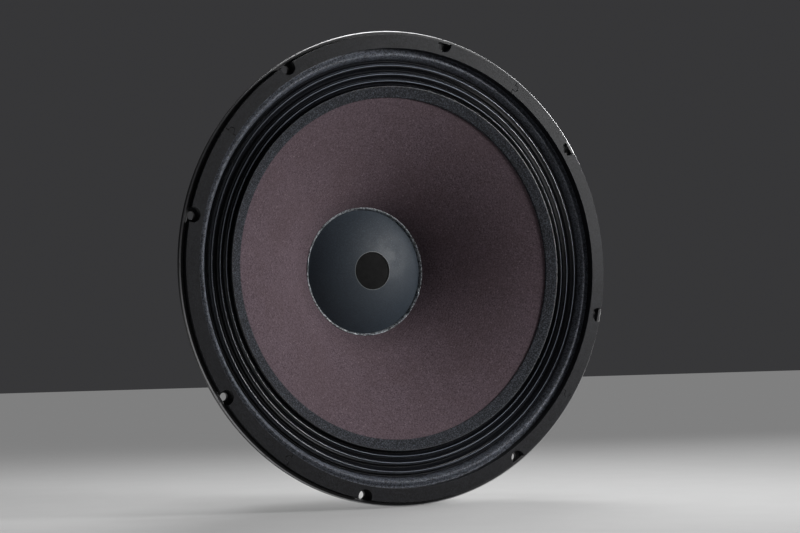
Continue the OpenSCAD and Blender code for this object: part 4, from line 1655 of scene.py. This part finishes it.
@dataclass
class Terminals:
    """The terminal board, its posts and push caps, and the braided leads to the cone.

    Places are counted in the terminals' own frame: out from the axis, sideways and along the axis. A
    lead follows the route from its tab, and then goes straight into its anchor, whose depths under
    the cone are listed.
    """

    curve: ConeCurve
    post_out: float = 109.0
    post_aside: float = 11.0
    spring_radius: float = 3.35
    spring_wire: float = 0.5
    spring_top: float = -105.6
    spring_length: float = 6.0
    spring_turns: float = 4.5
    spring_steps: int = 16
    spring_sides: int = 10
    cap_edge: float = 0.3
    lead_radius: float = 1.0
    lead_sides: int = 16
    lead_steps: int = 4
    anchor_radius: float = 62.0
    anchor_turn: float = 8.4
    anchor_depths: tuple[float, ...] = (7.35, 5.35, 3.35)
    bend_start: tuple[float, float, float] = (112.0, 11.0, -80.0)
    bend_end: tuple[float, float, float] = (70.0, 9.3, -70.0)
    route: tuple[tuple[float, float, float], ...] = (
        (116.2, 11.0, -91.25), (116.2, 11.0, -86.0), (115.4, 11.0, -82.5), (113.2, 11.0, -79.4),
        (109.5, 11.0, -77.2), (105.0, 10.8, -76.0), (100.0, 10.6, -75.4), (95.0, 10.4, -75.2),
        (90.0, 10.2, -75.2), (85.0, 10.0, -75.2), (80.0, 9.8, -74.6), (75.5, 9.6, -73.0),
        (71.5, 9.4, -70.4),
    )

    def build(self) -> None:
        """Dress the fixed parts, then build what belongs to each terminal."""
        rows = (
            ("board_plate", Finishes.BOARD, "terminal_board", 0.4),
            ("insulator_sheet", Finishes.BOARD, "insulator_plate", 0.2),
            ("board_screw_pair", Finishes.SCREW, "board_screws", 0.2),
            ("post_nut_pair", Finishes.SCREW, "post_nuts", 0.25),
            ("post_red_shaft", Finishes.NICKEL, "terminal_post_red", 0.15),
            ("post_black_shaft", Finishes.NICKEL, "terminal_post_black", 0.15),
            ("tab_red_plate", Finishes.NICKEL, "solder_tab_red", 0.12),
            ("tab_black_plate", Finishes.NICKEL, "solder_tab_black", 0.12),
        )
        for name, finish, node, edge in rows:
            Piece(name, finish, replaced=(node,), crease=FACET).firm(copied(node, edge))
        for shade in Shade:
            self.build_cap(shade)
            self.build_spring(shade)
            self.build_lead(shade)

    def build_cap(self, shade: Shade) -> None:
        """Dress a push cap.

        Args:
            shade: The terminal that it belongs to.
        """
        label = shade.name.lower()
        finish = Finishes.RED if shade is Shade.RED else Finishes.BLACK
        node = f"push_cap_{label}"
        button = Piece(f"push_button_{label}", finish, f"cap_{label}", (node,), FACET)
        button.firm(copied(node, self.cap_edge))

    def build_spring(self, shade: Shade) -> None:
        """Wind a push cap's spring.

        Args:
            shade: The terminal that it belongs to.
        """
        label = shade.name.lower()
        reach = self.spring_length - 2 * self.spring_wire
        count = int(self.spring_turns * self.spring_steps)
        aside = shade.value * self.post_aside
        route = []
        for i in range(count + 1):
            turn = math.tau * self.spring_turns * i / count
            out = self.post_out + self.spring_radius * math.cos(turn)
            side = aside + self.spring_radius * math.sin(turn)
            route.append(at_terminals(out, side, self.spring_top - self.spring_wire - reach * i / count))
        piece = Piece(f"spring_coil_{label}", Finishes.SPRING, BASKET, (f"cap_spring_{label}",))
        made = piece.firm(swept(route, self.spring_wire, self.spring_sides))
        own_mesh(made)

    def build_lead(self, shade: Shade) -> None:
        """Braid a lead from its tab to its anchor on the cone.

        Args:
            shade: The terminal that it belongs to.
        """
        label = shade.name.lower()
        slope = self.curve.slope(self.anchor_radius)
        turn = math.radians(self.anchor_turn)
        ends = []
        for depth in self.anchor_depths:
            out = self.anchor_radius + depth * math.sin(slope)
            height = self.curve.height(self.anchor_radius) - depth * math.cos(slope)
            ends.append((out * math.cos(turn), out * math.sin(turn), height))
        places = (*self.route, *ends, self.bend_start, self.bend_end)
        points = [at_terminals(out, shade.value * side, height) for out, side, height in places]
        *points, start, end = points
        smooth = rounded(points, self.lead_steps)
        piece = Piece(f"lead_braid_{label}", Finishes.TINSEL, BASKET, (f"flexible_lead_{label}",))
        piece.flex(swept(smooth, self.lead_radius, self.lead_sides))


def rounded(points: Sequence[Vector], steps: int) -> list[Vector]:
    """Pass a smooth curve through points.

    Args:
        points: The points.
        steps: The number of steps between two points.

    Returns:
        The points of the smooth curve, with the given ones among them.
    """
    padded = [points[0] * 2 - points[1], *points, points[-1] * 2 - points[-2]]
    smooth = []
    for a, b, c, d in zip(padded, padded[1:], padded[2:], padded[3:]):
        bend = 2 * a - 5 * b + 4 * c - d
        twist = 3 * b - a - 3 * c + d
        for i in range(steps):
            share = i / steps
            smooth.append(0.5 * (2 * b + (c - a) * share + bend * share**2 + twist * share**3))
    return [*smooth, points[-1].copy()]


@dataclass(frozen=True)
class Lamp:
    """A square lamp that looks at the driver.

    Its power is in watts and its side in metres. Its place is counted in metres in the camera's
    directions: right, up and towards the camera. The beam's angle, in degrees, is narrow enough to
    spare the floor.
    """

    name: str
    power: float
    side: float
    place: tuple[float, float, float]
    beam: float


@dataclass
class Studio:
    """The floor, the light and the camera at the photograph's angle.

    Angles are in degrees, the lens and sensor in millimetres, and places and heights in metres.
    """

    yaw: float = -27.096
    pitch: float = 2.710
    lens: float = 90.957
    sensor: float = 36.0
    place: Vector = field(default_factory=lambda: Vector((-0.74985, -1.4648, -0.06819)))
    near_clip: float = 0.01
    floor_height: float = -0.1935
    floor_reach: float = 6.0
    floor_colour: Colour = (0.3, 0.3, 0.3)
    floor_shade: float = 0.97
    sky_colour: Colour = (0.038, 0.038, 0.04)
    lamps: tuple[Lamp, ...] = (
        Lamp("key", 2.08, 0.35, (1.04, 0.36, 0.2), 70.0),
        Lamp("top", 1.1, 0.4, (0.2, 1.3, -0.15), 90.0),
        Lamp("back_top", 3.4, 1.0, (0.05, 1.3, -1.05), 60.0),
        Lamp("back_right", 2.3, 0.7, (1.1, 0.4, -1.3), 55.0),
    )

    def build(self) -> None:
        """Build the whole studio."""
        self.build_camera()
        self.build_floor()
        self.build_world()
        for lamp in self.lamps:
            self.hang(lamp)
        bpy.context.scene.view_settings.view_transform = "Standard"

    def turn(self) -> Matrix:
        """Find the camera's rotation.

        Returns:
            The rotation matrix.
        """
        tilt = Matrix.Rotation(math.radians(self.pitch), 4, "X")
        swing = Matrix.Rotation(math.radians(self.yaw), 4, "Z")
        upright = Matrix.Rotation(math.radians(90), 4, "X")
        return tilt @ swing @ upright

    def build_camera(self) -> None:
        """Place the camera."""
        data = bpy.data.cameras.new("camera")
        data.lens = self.lens
        data.sensor_width = self.sensor
        data.clip_start = self.near_clip
        made = bpy.data.objects.new("camera", data)
        made.matrix_world = Matrix.Translation(self.place) @ self.turn()
        bpy.context.scene.collection.objects.link(made)
        bpy.context.scene.camera = made

    def build_floor(self) -> None:
        """Lay a plain pale floor with a very faint grain."""
        shape = bmesh.new()
        level = Matrix.Translation((0, 0, self.floor_height))
        bmesh.ops.create_grid(shape, x_segments=1, y_segments=1, size=self.floor_reach, matrix=level)
        mesh = bpy.data.meshes.new("floor")
        shape.to_mesh(mesh)
        shape.free()
        floor = bpy.data.objects.new("floor", mesh)
        bpy.context.scene.collection.objects.link(floor)
        shade = tuple(self.floor_shade * value for value in self.floor_colour)
        finish = PaleFloor(
            "pale_floor", "", self.floor_colour, shade, 0.9,
            specular=0.1, grain_size=40.0, grain_depth=0.01,
        )
        mesh.materials.append(finish.material())

    def build_world(self) -> None:
        """Set a plain grey sky that lights at the level at which it shows."""
        world = bpy.data.worlds.new("studio")
        bpy.context.scene.world = world
        world.use_nodes = True
        shown = world.node_tree.nodes["Background"]
        shown.inputs["Color"].default_value = (*self.sky_colour, 1.0)

    def hang(self, lamp: Lamp) -> None:
        """Hang a lamp at its place and turn it to the driver.

        Args:
            lamp: The lamp.
        """
        data = bpy.data.lights.new(lamp.name, "AREA")
        data.energy = lamp.power
        data.size = lamp.side
        data.spread = math.radians(lamp.beam)
        made = bpy.data.objects.new(lamp.name, data)
        place = self.turn().to_3x3() @ Vector(lamp.place)
        aim = place.to_track_quat("Z", "Y").to_matrix().to_4x4()
        made.matrix_world = Matrix.Translation(place) @ aim
        bpy.context.scene.collection.objects.link(made)


def main() -> None:
    """Build the driver round the frame, then the studio."""
    logging.basicConfig(level=logging.INFO, format="%(message)s")
    curve = ConeCurve()
    builders: list[Callable[[], None]] = [
        Studio().build,
        Basket().build,
        GasketRing().build,
        Surround(curve).build,
        ConeAssembly(curve).build,
        Spider().build,
        Motor().build,
        Terminals(curve).build,
    ]
    for build in builders:
        build()


if __name__ == "__main__":
    main()
